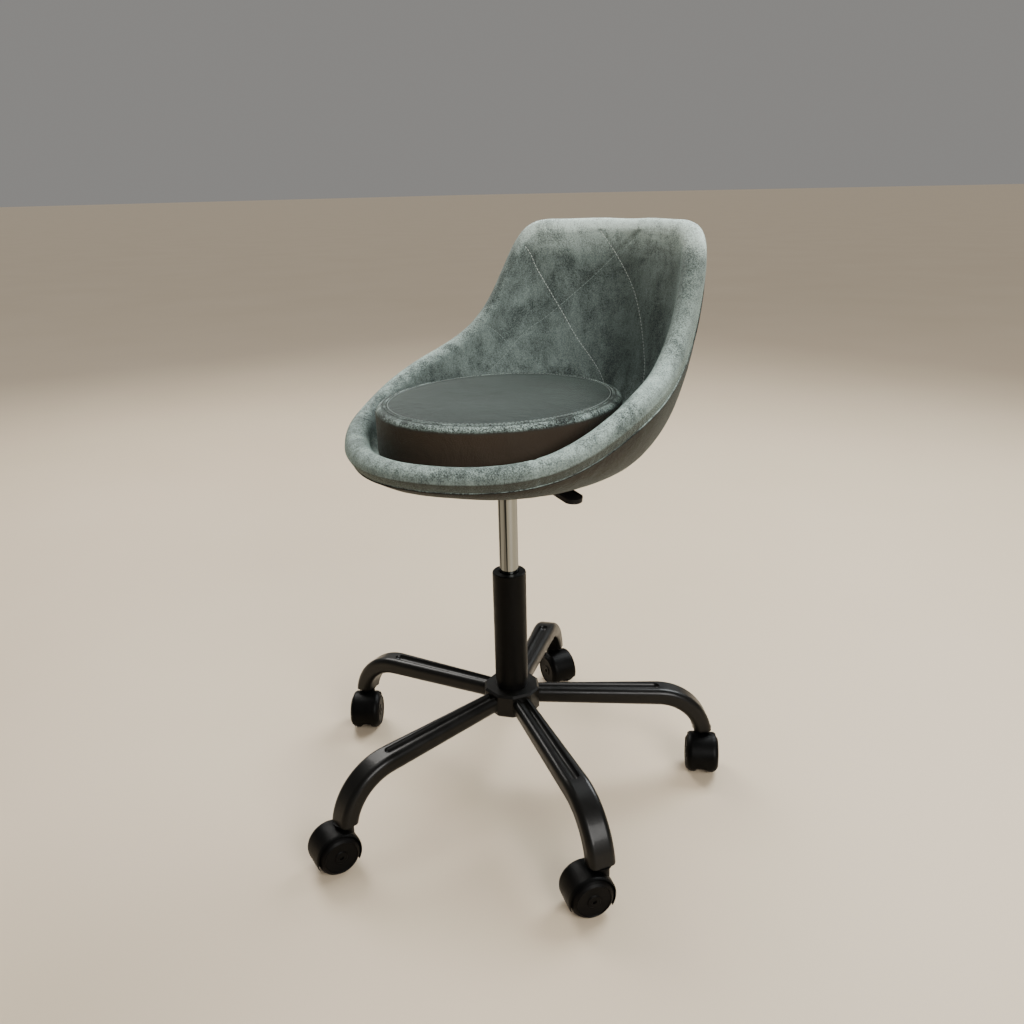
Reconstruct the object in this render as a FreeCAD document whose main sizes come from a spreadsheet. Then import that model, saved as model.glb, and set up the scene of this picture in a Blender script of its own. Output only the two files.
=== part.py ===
import FreeCAD, Part
import math
import os
import Sketcher

V = FreeCAD.Vector
UP = V(0, 0, 1)

# Adjustable swivel stool with a moulded bucket seat, a gas lift and a five-arm base on casters.
# Millimetres.  +Z is up, the origin is on the floor on the column's axis, and the seat's open
# front faces -Y, so +X is the sitter's left.

doc = FreeCAD.newDocument("SwivelStool")

# ---------------------------------------------------------------- driving dimensions

SIZES = {
    # five-arm base
    "arm_count": 5,
    "arm_first_angle": 63.9,
    "hub_low": 128.0,
    "hub_top": 165.0,
    "hub_flat_radius": 41.0,
    "hub_edge_chamfer": 3.0,
    "arm_width": 30.0,
    "arm_depth": 25.0,
    "arm_end_width": 38.0,
    "arm_end_depth": 27.0,
    "arm_wall": 2.0,
    "arm_corner": 9.0,
    "arm_centre_low": 133.5,
    "arm_slope": 3.9,
    "arm_bend_start": 229.0,
    "arm_bend_radius": 81.0,
    "arm_end_height": 68.0,
    "groove_radius": 7.5,
    "groove_depth": 5.0,
    "groove_end": 224.0,
    # column tube, guide and bearing
    "tube_radius": 25.0,
    "tube_waist": 24.0,
    "tube_wall": 1.5,
    "tube_low": 136.0,
    "tube_floor": 3.0,
    "tube_top": 353.0,
    "waist_flare": 12.0,
    "guide_length": 78.0,
    "guide_lip": 2.5,
    "lip_inset": 0.4,
    "lip_chamfer": 1.0,
    "guide_lead_in": 1.5,
    "running_gap": 0.06,
    "spigot_radius": 4.0,
    "spigot_reach": 8.0,
    "spigot_chamfer": 1.0,
    "bearing_radius": 11.0,
    "race_thick": 2.0,
    "race_clearance": 0.6,
    "ball_radius": 1.9,
    "ball_ring": 7.8,
    "ball_count": 10,
    "cage_radius": 10.6,
    "cage_bore": 5.0,
    "cage_thick": 1.4,
    "float_gap": 0.1,
    "washer_drop": 3.0,
    "clip_radius": 8.0,
    "clip_thick": 1.5,
    "clip_groove": 0.8,
    "clip_mouth": 4.4,
    # gas spring
    "rod_radius": 5.0,
    "rod_top": 324.0,
    "bumper_radius": 13.0,
    "bumper_length": 16.0,
    "piston_radius": 11.94,
    "piston_length": 15.0,
    "cylinder_radius": 14.0,
    "cylinder_bore": 12.0,
    "cylinder_low": 265.0,
    "cylinder_top": 503.0,
    "taper_low": 466.0,
    "taper_tip_radius": 13.2,
    "seal_length": 20.0,
    "valve_low": 480.0,
    "pin_radius": 3.0,
    "pin_stand_out": 7.0,
    "pin_foot": 3.0,
    "pin_chamfer": 1.0,
    # mechanism under the seat
    "shell_low": 526.0,
    "plate_thick": 3.0,
    "plate_x": 150.0,
    "plate_y": 130.0,
    "plate_corner": 12.0,
    "pan_x": 96.0,
    "pan_y": 72.0,
    "pan_low": 498.0,
    "pan_corner": 10.0,
    "socket_radius": 19.0,
    "socket_low": 476.0,
    "socket_chamfer": 1.5,
    "screw_x": 60.0,
    "screw_y": 48.0,
    "screw_radius": 3.0,
    "screw_clearance": 0.4,
    "screw_head_radius": 5.5,
    "screw_head": 3.2,
    "lever_pivot_x": 38.0,
    "lever_rod_radius": 4.0,
    "lever_slot_gap": 2.5,
    "lever_height": 514.3,
    "lever_bend_x": 56.0,
    "lever_yaw": -15.0,
    "lever_drop": 6.5,
    "lever_tip_x": 149.0,
    "paddle_width": 26.0,
    "paddle_thick": 6.5,
    "paddle_length": 76.0,
    "dish_length": 36.0,
    "dish_border": 3.5,
    "dish_depth": 1.2,
    # bucket seat
    "bottom_radius": 144.0,
    "belly_reach": 0.93,
    "belly_rise": 0.025,
    "roll_radius": 17.0,
    "seam_drop": 16.0,
    "cover_thick": 2.4,
    "layer_gap": 0.9,
    "board_thick": 9.0,
    "inner_floor": 546.0,
    "inner_wall": 24.0,
    # loose round cushion
    "cushion_low": 551.0,
    "cushion_top": 622.0,
    "cushion_half_x": 160.0,
    "cushion_half_y": 182.0,
    "cushion_y": -8.0,
    "cushion_edge": 14.0,
    # twin-wheel casters
    "caster_ring": 304.3,
    "trail": 18.0,
    "wheel_radius": 30.0,
    "wheel_inner": 8.0,
    "wheel_outer": 25.0,
    "hood_radius": 33.0,
    "hood_inner": 31.2,
    "web_half": 7.0,
    "hood_shoulder": 9.0,
    "boss_radius": 12.0,
    "boss_top": 64.5,
    "axle_radius": 3.0,
    "stem_low": 43.0,
    "stem_radius": 5.0,
    "stem_collar": 2.5,
    "stem_chamfer": 1.5,
    "stem_top": 80.0,
    "socket_wall": 2.4,
    "socket_flange_radius": 15.0,
    "socket_flange": 2.0,
}
# rest direction of each caster's trail, degrees from -Y towards +X
CASTER_TRAIL_ANGLES = [-30.0, 35.0, 70.0, 40.0, -15.0]

sheet = doc.addObject("Spreadsheet::Sheet", "Sizes")
for row, (alias, value) in enumerate(SIZES.items(), start=1):
    sheet.set(f"A{row}", alias)
    sheet.set(f"B{row}", str(value))
    sheet.setAlias(f"B{row}", alias)
doc.recompute()


def size(alias):
    """The number in the sheet's cell."""
    return float(sheet.get(alias))


def number(expression):
    """The value of an expression over the sheet's cells."""
    value = sheet.evalExpression(expression)
    return float(getattr(value, "Value", value))


def bind(item, **expressions):
    for name, expression in expressions.items():
        item.setExpression(name, expression)
    return item


def place(item, base=V(0, 0, 0), yaw=0.0):
    item.Placement = FreeCAD.Placement(base, FreeCAD.Rotation(UP, yaw))
    return item


# ---------------------------------------------------------------- modelling helpers

PARTS = []


def keep(item, label):
    """Register one finished sub-part under its node name."""
    item.Label = label
    PARTS.append(item)
    return item


def body_named(label):
    return doc.addObject("PartDesign::Body", label + "_body")


def origin_plane(body, role):
    return [item for item in body.Origin.OriginFeatures if item.Role == role][0]


def sketch_on(body, role, offset="0"):
    sketch = body.newObject("Sketcher::SketchObject", "outline")
    sketch.AttachmentSupport = [(origin_plane(body, role), "")]
    sketch.MapMode = "FlatFace"
    if offset != "0":
        sketch.setExpression("AttachmentOffset.Base.z", offset)
    return sketch


def fix_coordinate(sketch, kind, line, point, expression):
    """Hold one coordinate of a sketch point at an expression's value."""
    value = number(expression)
    if abs(value) < 1e-9:
        axis = -2 if kind == "DistanceX" else -1
        sketch.addConstraint(Sketcher.Constraint("PointOnObject", line, point, axis))
        return
    index = sketch.addConstraint(Sketcher.Constraint(kind, -1, 1, line, point, value))
    sketch.setExpression(f"Constraints[{index}]", expression)


def polygon(sketch, corners):
    """A closed outline whose corners are pairs of expressions."""
    points = [V(number(x), number(y), 0) for x, y in corners]
    count = len(points)
    for index in range(count):
        sketch.addGeometry(Part.LineSegment(points[index], points[(index + 1) % count]))
    for index in range(count):
        following = (index + 1) % count
        sketch.addConstraint(Sketcher.Constraint("Coincident", index, 2, following, 1))
    for index, (x, y) in enumerate(corners):
        fix_coordinate(sketch, "DistanceX", index, 1, x)
        fix_coordinate(sketch, "DistanceY", index, 1, y)
    return sketch


def circle(sketch, x, y, radius):
    """A circle whose centre and radius are expressions."""
    centre = V(number(x), number(y), 0)
    index = sketch.addGeometry(Part.Circle(centre, UP, number(radius)))
    fix_coordinate(sketch, "DistanceX", index, 3, x)
    fix_coordinate(sketch, "DistanceY", index, 3, y)
    held = sketch.addConstraint(Sketcher.Constraint("Radius", index, number(radius)))
    sketch.setExpression(f"Constraints[{held}]", radius)
    return sketch


def rectangle(sketch, half_x, half_y):
    corners = [("-", "-"), ("", "-"), ("", ""), ("-", "")]
    return polygon(sketch, [(f"{sx}({half_x})", f"{sy}({half_y})") for sx, sy in corners])


def pad(body, sketch, length, midplane=False, reverse=False):
    feature = body.newObject("PartDesign::Pad", "pad")
    feature.Profile = sketch
    feature.Midplane = midplane
    feature.Reversed = reverse
    bind(feature, Length=length)
    doc.recompute()
    return feature


def pocket(body, sketch, length, midplane=False, reverse=False):
    """Cut the sketch into the body, and make sure that something was removed."""
    doc.recompute()
    before = body.Shape.Volume
    feature = body.newObject("PartDesign::Pocket", "pocket")
    feature.Profile = sketch
    feature.Midplane = midplane
    feature.Reversed = reverse
    bind(feature, Length=length)
    doc.recompute()
    if body.Shape.Volume >= before - 0.01:
        raise ValueError(f"a pocket of {body.Name} cuts nothing")
    return feature


def edges_where(shape, test):
    return [f"Edge{n}" for n, edge in enumerate(shape.Edges, start=1) if test(edge)]


def is_upright(edge):
    box = edge.BoundBox
    return box.XLength < 1e-6 and box.YLength < 1e-6 and box.ZLength > 1e-3


def lies_at(edge, level):
    box = edge.BoundBox
    return abs(box.ZMin - level) < 1e-6 and abs(box.ZMax - level) < 1e-6


def dress(body, kind, base, names, amount):
    """A fillet or chamfer on the named edges of a feature."""
    feature = body.newObject(f"PartDesign::{kind}", kind.lower())
    feature.Base = (base, names)
    bind(feature, **{"Radius" if kind == "Fillet" else "Size": amount})
    doc.recompute()
    return feature


def turned(label, profile, base=V(0, 0, 0), yaw=0.0):
    """A lathe-turned part: its (radius, height) outline revolved about its own Z axis."""
    body = body_named(label)
    sketch = polygon(sketch_on(body, "XZ_Plane"), profile)
    turn = body.newObject("PartDesign::Revolution", "turn")
    turn.Profile = sketch
    turn.ReferenceAxis = (sketch, ["V_Axis"])
    turn.Angle = 360
    place(body, base, yaw)
    return keep(body, label)


def ring(label, inner, outer, low, high):
    """A plain washer or sleeve."""
    return turned(label, [(inner, low), (outer, low), (outer, high), (inner, high)])


def drum(name, radius, length, base):
    """A bound Part cylinder standing on +Z, used in booleans."""
    item = doc.addObject("Part::Cylinder", name)
    bind(item, Radius=radius, Height=length)
    item.Placement.Base = base
    return item


def plain(label, shape, base=V(0, 0, 0), yaw=0.0):
    """A sub-part whose shape comes from Part's own functions."""
    item = doc.addObject("Part::Feature", label + "_form")
    item.Shape = shape
    place(item, base, yaw)
    return keep(item, label)


# ---------------------------------------------------------------- five-arm base

ARM_COUNT = int(size("arm_count"))
ARM_STEP = 360.0 / ARM_COUNT
# the angle from +X of each arm
ARM_ANGLES = [size("arm_first_angle") + ARM_STEP * k - 90.0 for k in range(ARM_COUNT)]
# the bend turns a little further than the level cut at the foot needs
ARM_BEND_TURN = 88.0
# extent of the block that cuts every arm level at its foot
FOOT_CUT_LENGTH = 400.0
FOOT_CUT_WIDTH = 200.0


def hub():
    """Ten-sided boss: five wide flats take the arms, five narrower ones show between them."""
    body = body_named("hub")
    half_step = math.radians(ARM_STEP / 2)
    flat = size("hub_flat_radius")
    reach = math.hypot(flat, size("arm_width") / 2)
    lead = math.atan2(size("arm_width") / 2, flat)
    corners = []
    for angle in ARM_ANGLES:
        middle = math.radians(angle)
        for turn in (middle - lead, middle + lead):
            corners.append(V(reach * math.cos(turn), reach * math.sin(turn), 0))
    if lead >= half_step:
        raise ValueError("the hub's flats for the arms meet each other")
    sketch = sketch_on(body, "XY_Plane", "Sizes.hub_low")
    count = len(corners)
    for index in range(count):
        sketch.addGeometry(Part.LineSegment(corners[index], corners[(index + 1) % count]))
        sketch.addConstraint(Sketcher.Constraint("Block", index))
    block = pad(body, sketch, "Sizes.hub_top - Sizes.hub_low")
    rims = edges_where(block.Shape, lambda e: lies_at(e, size("hub_low")) or lies_at(e, size("hub_top")))
    dress(body, "Chamfer", block, rims, "Sizes.hub_edge_chamfer")
    bore = circle(sketch_on(body, "XY_Plane", "Sizes.hub_low"), "0", "0", "Sizes.tube_waist")
    pocket(body, bore, "Sizes.hub_top - Sizes.hub_low", reverse=True)
    keep(body, "hub")


def rounded_section(width, depth, corner, centre, pitch):
    """A rounded rectangle standing across the arm, facing along it at a downward pitch."""
    across = V(0, 1, 0)
    upward = V(math.sin(pitch), 0, math.cos(pitch))
    nearly = 1.0 - math.sqrt(0.5)
    signs = [(-1, -1), (1, -1), (1, 1), (-1, 1)]
    corners = [centre + across * (sx * width / 2) + upward * (sy * depth / 2) for sx, sy in signs]
    pieces = []
    for index, here in enumerate(corners):
        following = corners[(index + 1) % 4]
        ahead = (following - here).normalize()
        behind = (corners[index - 1] - here).normalize()
        bend = here + (ahead + behind) * (corner * nearly)
        pieces.append(Part.Arc(here + behind * corner, bend, here + ahead * corner).toShape())
        pieces.append(Part.makeLine(here + ahead * corner, following - ahead * corner))
    return Part.Wire(pieces)


def arm_run(inset):
    """The arm's outside, or its hollow when inset by the wall: a widening straight run from the
    hub, then a bend of constant section down to the foot."""
    slope = math.radians(size("arm_slope"))
    corner = size("arm_corner") - inset
    bend_start = V(size("arm_bend_start"), 0, size("arm_centre_low"))
    hub_face = size("hub_flat_radius")
    rise = (bend_start.x - hub_face) * math.tan(slope)
    hub_end = V(hub_face, 0, bend_start.z + rise)
    narrow = rounded_section(size("arm_width") - 2 * inset, size("arm_depth") - 2 * inset,
                             corner, hub_end, 0.0)
    wide = rounded_section(size("arm_end_width") - 2 * inset, size("arm_end_depth") - 2 * inset,
                           corner, bend_start, slope)
    straight = Part.makeLoft([narrow, wide], True, True)
    pivot = bend_start - V(math.sin(slope), 0, math.cos(slope)) * size("arm_bend_radius")
    bend = Part.Face(wide).revolve(pivot, V(0, 1, 0), ARM_BEND_TURN)
    return straight.fuse(bend)


def groove_tool(extra):
    """A long round-ended cutter lying in the arm's top, for the pressed groove."""
    slope = math.radians(size("arm_slope"))
    start = V(size("arm_bend_start"), 0, size("arm_centre_low"))
    radius = size("groove_radius") + extra
    lift = size("arm_depth") / 2 + size("groove_radius") - size("groove_depth")
    direction = V(math.cos(slope), 0, -math.sin(slope))
    normal = V(math.sin(slope), 0, math.cos(slope))
    length = size("groove_end")
    end = start + direction * (length - start.x) + normal * lift
    first = end - direction * length
    return Part.makeCylinder(radius, length, first, direction).fuse(Part.makeSphere(radius, end))


def arm_form():
    """One hollow pressed arm along +X, cut level at its foot."""
    wall = size("arm_wall")
    hollow = arm_run(wall).cut(groove_tool(wall))
    solid = arm_run(0.0).cut([hollow, groove_tool(0.0)])
    below = Part.makeBox(FOOT_CUT_LENGTH, FOOT_CUT_WIDTH, size("arm_end_height"),
                         V(0, -FOOT_CUT_WIDTH / 2, 0))
    return solid.cut(below).removeSplitter()


def caster_positions():
    """The swivel axis of each caster, at the foot of its arm."""
    ring_radius = size("caster_ring")
    turns = [math.radians(angle) for angle in ARM_ANGLES]
    return [V(ring_radius * math.cos(t), ring_radius * math.sin(t), 0) for t in turns]


def base_arms():
    form = arm_form()
    for index, angle in enumerate(ARM_ANGLES, start=1):
        plain(f"arm_{index}", form, yaw=angle)


def arm_foot_sockets():
    """Flanged plastic sockets in the arm feet; the caster stems grip inside them."""
    foot = size("arm_end_height")
    sleeve = size("stem_radius") + size("socket_wall")
    flange_low = foot - size("socket_flange")
    flange = Part.makeCylinder(size("socket_flange_radius"), size("socket_flange"), V(0, 0, flange_low))
    tube = Part.makeCylinder(sleeve, size("stem_top") - foot, V(0, 0, foot))
    bore = Part.makeCylinder(size("stem_radius"), size("stem_top") - flange_low, V(0, 0, flange_low))
    one = flange.fuse(tube).cut(bore).removeSplitter()
    copies = []
    for where in caster_positions():
        copy = one.copy()
        copy.translate(where)
        copies.append(copy)
    plain("arm_foot_sockets", Part.Compound(copies))


# ---------------------------------------------------------------- column

def column():
    """Tapered steel tube whose closed bottom carries the thrust bearing."""
    inner = "Sizes.tube_radius - Sizes.tube_wall"
    waist_inner = "Sizes.tube_waist - Sizes.tube_wall"
    turned("support_tube", [
        ("Sizes.spigot_radius + Sizes.running_gap", "Sizes.tube_low"),
        ("Sizes.tube_waist", "Sizes.tube_low"),
        ("Sizes.tube_waist", "Sizes.hub_top"),
        ("Sizes.tube_radius", "Sizes.hub_top + Sizes.waist_flare"),
        ("Sizes.tube_radius", "Sizes.tube_top"),
        (inner, "Sizes.tube_top"),
        (inner, "Sizes.hub_top + Sizes.waist_flare"),
        (waist_inner, "Sizes.hub_top"),
        (waist_inner, "Sizes.tube_low + Sizes.tube_floor"),
        ("Sizes.spigot_radius + Sizes.running_gap", "Sizes.tube_low + Sizes.tube_floor"),
    ])
    bore = "Sizes.cylinder_radius + Sizes.running_gap"
    lip_radius = "Sizes.tube_radius - Sizes.lip_inset"
    turned("guide_bushing", [
        (bore, "Sizes.tube_top - Sizes.guide_length"),
        (inner, "Sizes.tube_top - Sizes.guide_length"),
        (inner, "Sizes.tube_top"),
        (lip_radius, "Sizes.tube_top"),
        (lip_radius, "Sizes.tube_top + Sizes.guide_lip - Sizes.lip_chamfer"),
        (f"{lip_radius} - Sizes.lip_chamfer", "Sizes.tube_top + Sizes.guide_lip"),
        ("Sizes.cylinder_radius + Sizes.guide_lead_in", "Sizes.tube_top + Sizes.guide_lip"),
        (bore, "Sizes.tube_top + Sizes.guide_lip - Sizes.guide_lead_in"),
    ])


RACE_LOW = "Sizes.tube_low + Sizes.tube_floor"
CAGE_LOW = f"{RACE_LOW} + Sizes.race_thick"
RACE_HIGH = f"{CAGE_LOW} + 2 * Sizes.ball_radius + 2 * Sizes.float_gap"
ROD_SHOULDER = f"{RACE_HIGH} + Sizes.race_thick"


def thrust_bearing():
    """Two races with a caged ring of balls between them, on the tube's closed bottom."""
    hole = "Sizes.spigot_radius + Sizes.race_clearance"
    ring("lower_race", hole, "Sizes.bearing_radius", RACE_LOW, CAGE_LOW)
    ring("upper_race", "Sizes.spigot_radius", "Sizes.bearing_radius", RACE_HIGH, ROD_SHOULDER)
    radius = size("ball_radius")
    middle = number(CAGE_LOW) + radius + size("float_gap")
    pitch = size("ball_ring")
    count = int(size("ball_count"))
    balls = []
    for step in range(count):
        turn = 2 * math.pi * step / count
        centre = V(pitch * math.cos(turn), pitch * math.sin(turn), middle)
        balls.append(Part.makeSphere(radius, centre))
    cage_low = V(0, 0, middle - size("cage_thick") / 2)
    cage = Part.makeCylinder(size("cage_radius"), size("cage_thick"), cage_low)
    cage = cage.cut(Part.makeCylinder(size("cage_bore"), size("cage_thick"), cage_low))
    for ball in balls:
        cage = cage.cut(Part.makeSphere(radius, ball.CenterOfMass))
    plain("ball_ring", Part.Compound([cage] + balls))


# ---------------------------------------------------------------- gas spring

def piston_rod():
    """Rod that stands on the bearing; its thin spigot passes through the tube's bottom."""
    spigot_low = "Sizes.tube_low - Sizes.spigot_reach"
    clip_top = "Sizes.tube_low - Sizes.washer_drop"
    clip_low = f"{clip_top} - Sizes.clip_thick"
    groove = "Sizes.spigot_radius - Sizes.clip_groove"
    turned("piston_rod", [
        ("0", spigot_low),
        (groove, spigot_low),
        ("Sizes.spigot_radius", f"{spigot_low} + Sizes.spigot_chamfer"),
        ("Sizes.spigot_radius", clip_low),
        (groove, clip_low),
        (groove, clip_top),
        ("Sizes.spigot_radius", clip_top),
        ("Sizes.spigot_radius", ROD_SHOULDER),
        ("Sizes.rod_radius", ROD_SHOULDER),
        ("Sizes.rod_radius", "Sizes.rod_top"),
        ("0", "Sizes.rod_top"),
    ])
    ring("rod_washer", "Sizes.spigot_radius", "Sizes.bearing_radius",
         clip_top, "Sizes.tube_low - Sizes.float_gap")
    ring("rubber_bumper", "Sizes.rod_radius", "Sizes.bumper_radius",
         ROD_SHOULDER, f"{ROD_SHOULDER} + Sizes.bumper_length")
    ring("piston", "Sizes.rod_radius", "Sizes.piston_radius",
         "Sizes.rod_top - Sizes.piston_length", "Sizes.rod_top")
    radius = size("clip_radius")
    thick = size("clip_thick")
    mouth_width = size("clip_mouth")
    low = V(0, 0, number(clip_low))
    bore = Part.makeCylinder(number(groove), thick, low)
    mouth = Part.makeBox(2 * radius, mouth_width, thick, low - V(0, mouth_width / 2, 0))
    plain("retaining_clip", Part.makeCylinder(radius, thick, low).cut([bore, mouth]))


def gas_cylinder():
    """Chromed cylinder with a tapered head; a release pin runs in the head's bore."""
    pin_bore = "Sizes.pin_radius + Sizes.running_gap"
    turned("gas_cylinder", [
        ("Sizes.cylinder_bore", "Sizes.cylinder_low"),
        ("Sizes.cylinder_radius", "Sizes.cylinder_low"),
        ("Sizes.cylinder_radius", "Sizes.taper_low"),
        ("Sizes.taper_tip_radius", "Sizes.cylinder_top"),
        (pin_bore, "Sizes.cylinder_top"),
        (pin_bore, "Sizes.valve_low"),
        ("Sizes.cylinder_bore", "Sizes.valve_low"),
    ])
    ring("rod_seal", "Sizes.rod_radius + Sizes.running_gap", "Sizes.cylinder_bore",
         "Sizes.cylinder_low", "Sizes.cylinder_low + Sizes.seal_length")
    pin_low = "Sizes.valve_low + Sizes.pin_foot"
    pin_top = "Sizes.cylinder_top + Sizes.pin_stand_out"
    turned("release_pin", [
        ("0", pin_low),
        ("Sizes.pin_radius", pin_low),
        ("Sizes.pin_radius", f"{pin_top} - Sizes.pin_chamfer"),
        ("Sizes.pin_radius - Sizes.pin_chamfer", pin_top),
        ("0", pin_top),
    ])


# ---------------------------------------------------------------- mechanism under the seat

def screw_places():
    x = size("screw_x")
    y = size("screw_y")
    return [V(sx * x, sy * y, 0) for sx in (-1, 1) for sy in (-1, 1)]


def seat_plate():
    """Pressed plate with a pan in its middle, slotted for the lever and holed for four screws."""
    body = body_named("seat_plate")
    flange = rectangle(sketch_on(body, "XY_Plane", "Sizes.shell_low - Sizes.plate_thick"),
                       "Sizes.plate_x / 2", "Sizes.plate_y / 2")
    feature = pad(body, flange, "Sizes.plate_thick")
    feature = dress(body, "Fillet", feature, edges_where(feature.Shape, is_upright), "Sizes.plate_corner")
    pan = rectangle(sketch_on(body, "XY_Plane", "Sizes.pan_low"), "Sizes.pan_x / 2", "Sizes.pan_y / 2")
    feature = pad(body, pan, "Sizes.shell_low - Sizes.pan_low - Sizes.plate_thick")
    half_x = size("pan_x") / 2
    corners = edges_where(feature.Shape,
                          lambda e: is_upright(e) and abs(abs(e.BoundBox.XMin) - half_x) < 1e-6)
    feature = dress(body, "Fillet", feature, corners, "Sizes.pan_corner")
    inside = rectangle(sketch_on(body, "XY_Plane", "Sizes.pan_low + Sizes.plate_thick"),
                       "Sizes.pan_x / 2 - Sizes.plate_thick", "Sizes.pan_y / 2 - Sizes.plate_thick")
    pocket(body, inside, "Sizes.shell_low - Sizes.pan_low", reverse=True)
    mouth = circle(sketch_on(body, "XY_Plane", "Sizes.pan_low"), "0", "0", "Sizes.socket_radius")
    pocket(body, mouth, "Sizes.plate_thick", reverse=True)
    holes = sketch_on(body, "XY_Plane", "Sizes.shell_low - Sizes.plate_thick")
    for sx, sy in (("", ""), ("-", ""), ("", "-"), ("-", "-")):
        circle(holes, f"{sx}Sizes.screw_x", f"{sy}Sizes.screw_y", "Sizes.screw_radius + Sizes.screw_clearance")
    pocket(body, holes, "Sizes.plate_thick", reverse=True)
    slot = circle(sketch_on(body, "YZ_Plane", "Sizes.pan_x / 2 - 2 * Sizes.plate_thick"),
                  "0", "Sizes.lever_height", "Sizes.lever_rod_radius + Sizes.lever_slot_gap")
    pocket(body, slot, "3 * Sizes.plate_thick", reverse=True)
    keep(body, "seat_plate")


def taper_socket():
    """Welded sleeve that the cylinder's tapered head wedges into."""
    slope = "(Sizes.cylinder_radius - Sizes.taper_tip_radius) / (Sizes.cylinder_top - Sizes.taper_low)"
    mouth = f"Sizes.cylinder_radius - (Sizes.socket_low - Sizes.taper_low) * {slope}"
    turned("taper_socket", [
        (mouth, "Sizes.socket_low"),
        ("Sizes.socket_radius - Sizes.socket_chamfer", "Sizes.socket_low"),
        ("Sizes.socket_radius", "Sizes.socket_low + Sizes.socket_chamfer"),
        ("Sizes.socket_radius", "Sizes.cylinder_top"),
        ("Sizes.taper_tip_radius", "Sizes.cylinder_top"),
    ])


EAR_GAP = 6.0
EAR_THICK = 2.5
PIVOT_RADIUS = 2.5
EYE_RADIUS = 6.5
EYE_CLEARANCE = 0.3
EAR_RADIUS = 4.0
PIN_STAND_OUT = 0.5
# where the lever's inner end rests, over the release pin
LEVER_INNER_X = -5.0
# straight run that the lever's bend takes up on each side of its corner
LEVER_BEND_REACH = 9.0
# solid end of the paddle beyond the rod
PADDLE_TIP = 52.0
PADDLE_WALL = 2.0
PADDLE_SHOULDER = 24.0
# how far the paddle's round nose reaches, as a share of its half width
PADDLE_NOSE = 0.7
# length of a cutter that passes right through
THROUGH = 40.0


def lever_bracket():
    """Two ears on the pan's floor with the lever's pivot pin across them."""
    floor = size("pan_low") + size("plate_thick")
    x = size("lever_pivot_x")
    height = size("lever_height")
    hole = Part.makeCylinder(PIVOT_RADIUS, THROUGH, V(x, -THROUGH / 2, height), V(0, 1, 0))
    ears = []
    for side in (-1, 1):
        middle = side * (EAR_GAP + EAR_THICK / 2)
        near = middle - EAR_THICK / 2
        web = Part.makeBox(2 * EAR_RADIUS, EAR_THICK, height - floor, V(x - EAR_RADIUS, near, floor))
        cap = Part.makeCylinder(EAR_RADIUS, EAR_THICK, V(x, near, height), V(0, 1, 0))
        ears.append(web.fuse(cap).cut(hole).removeSplitter())
    plain("lever_bracket", Part.Compound(ears))
    length = 2 * (EAR_GAP + EAR_THICK + PIN_STAND_OUT)
    pin = Part.makeCylinder(PIVOT_RADIUS, length, V(x, -length / 2, height), V(0, 1, 0))
    plain("lever_pivot_pin", pin)


def lever_directions():
    """Unit vectors of the lever's outer run: along it, and level across it."""
    yaw = math.radians(size("lever_yaw"))
    drop = math.radians(size("lever_drop"))
    along = V(math.cos(yaw) * math.cos(drop), math.sin(yaw) * math.cos(drop), -math.sin(drop))
    across = V(-math.sin(yaw), math.cos(yaw), 0)
    return along, across


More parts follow.
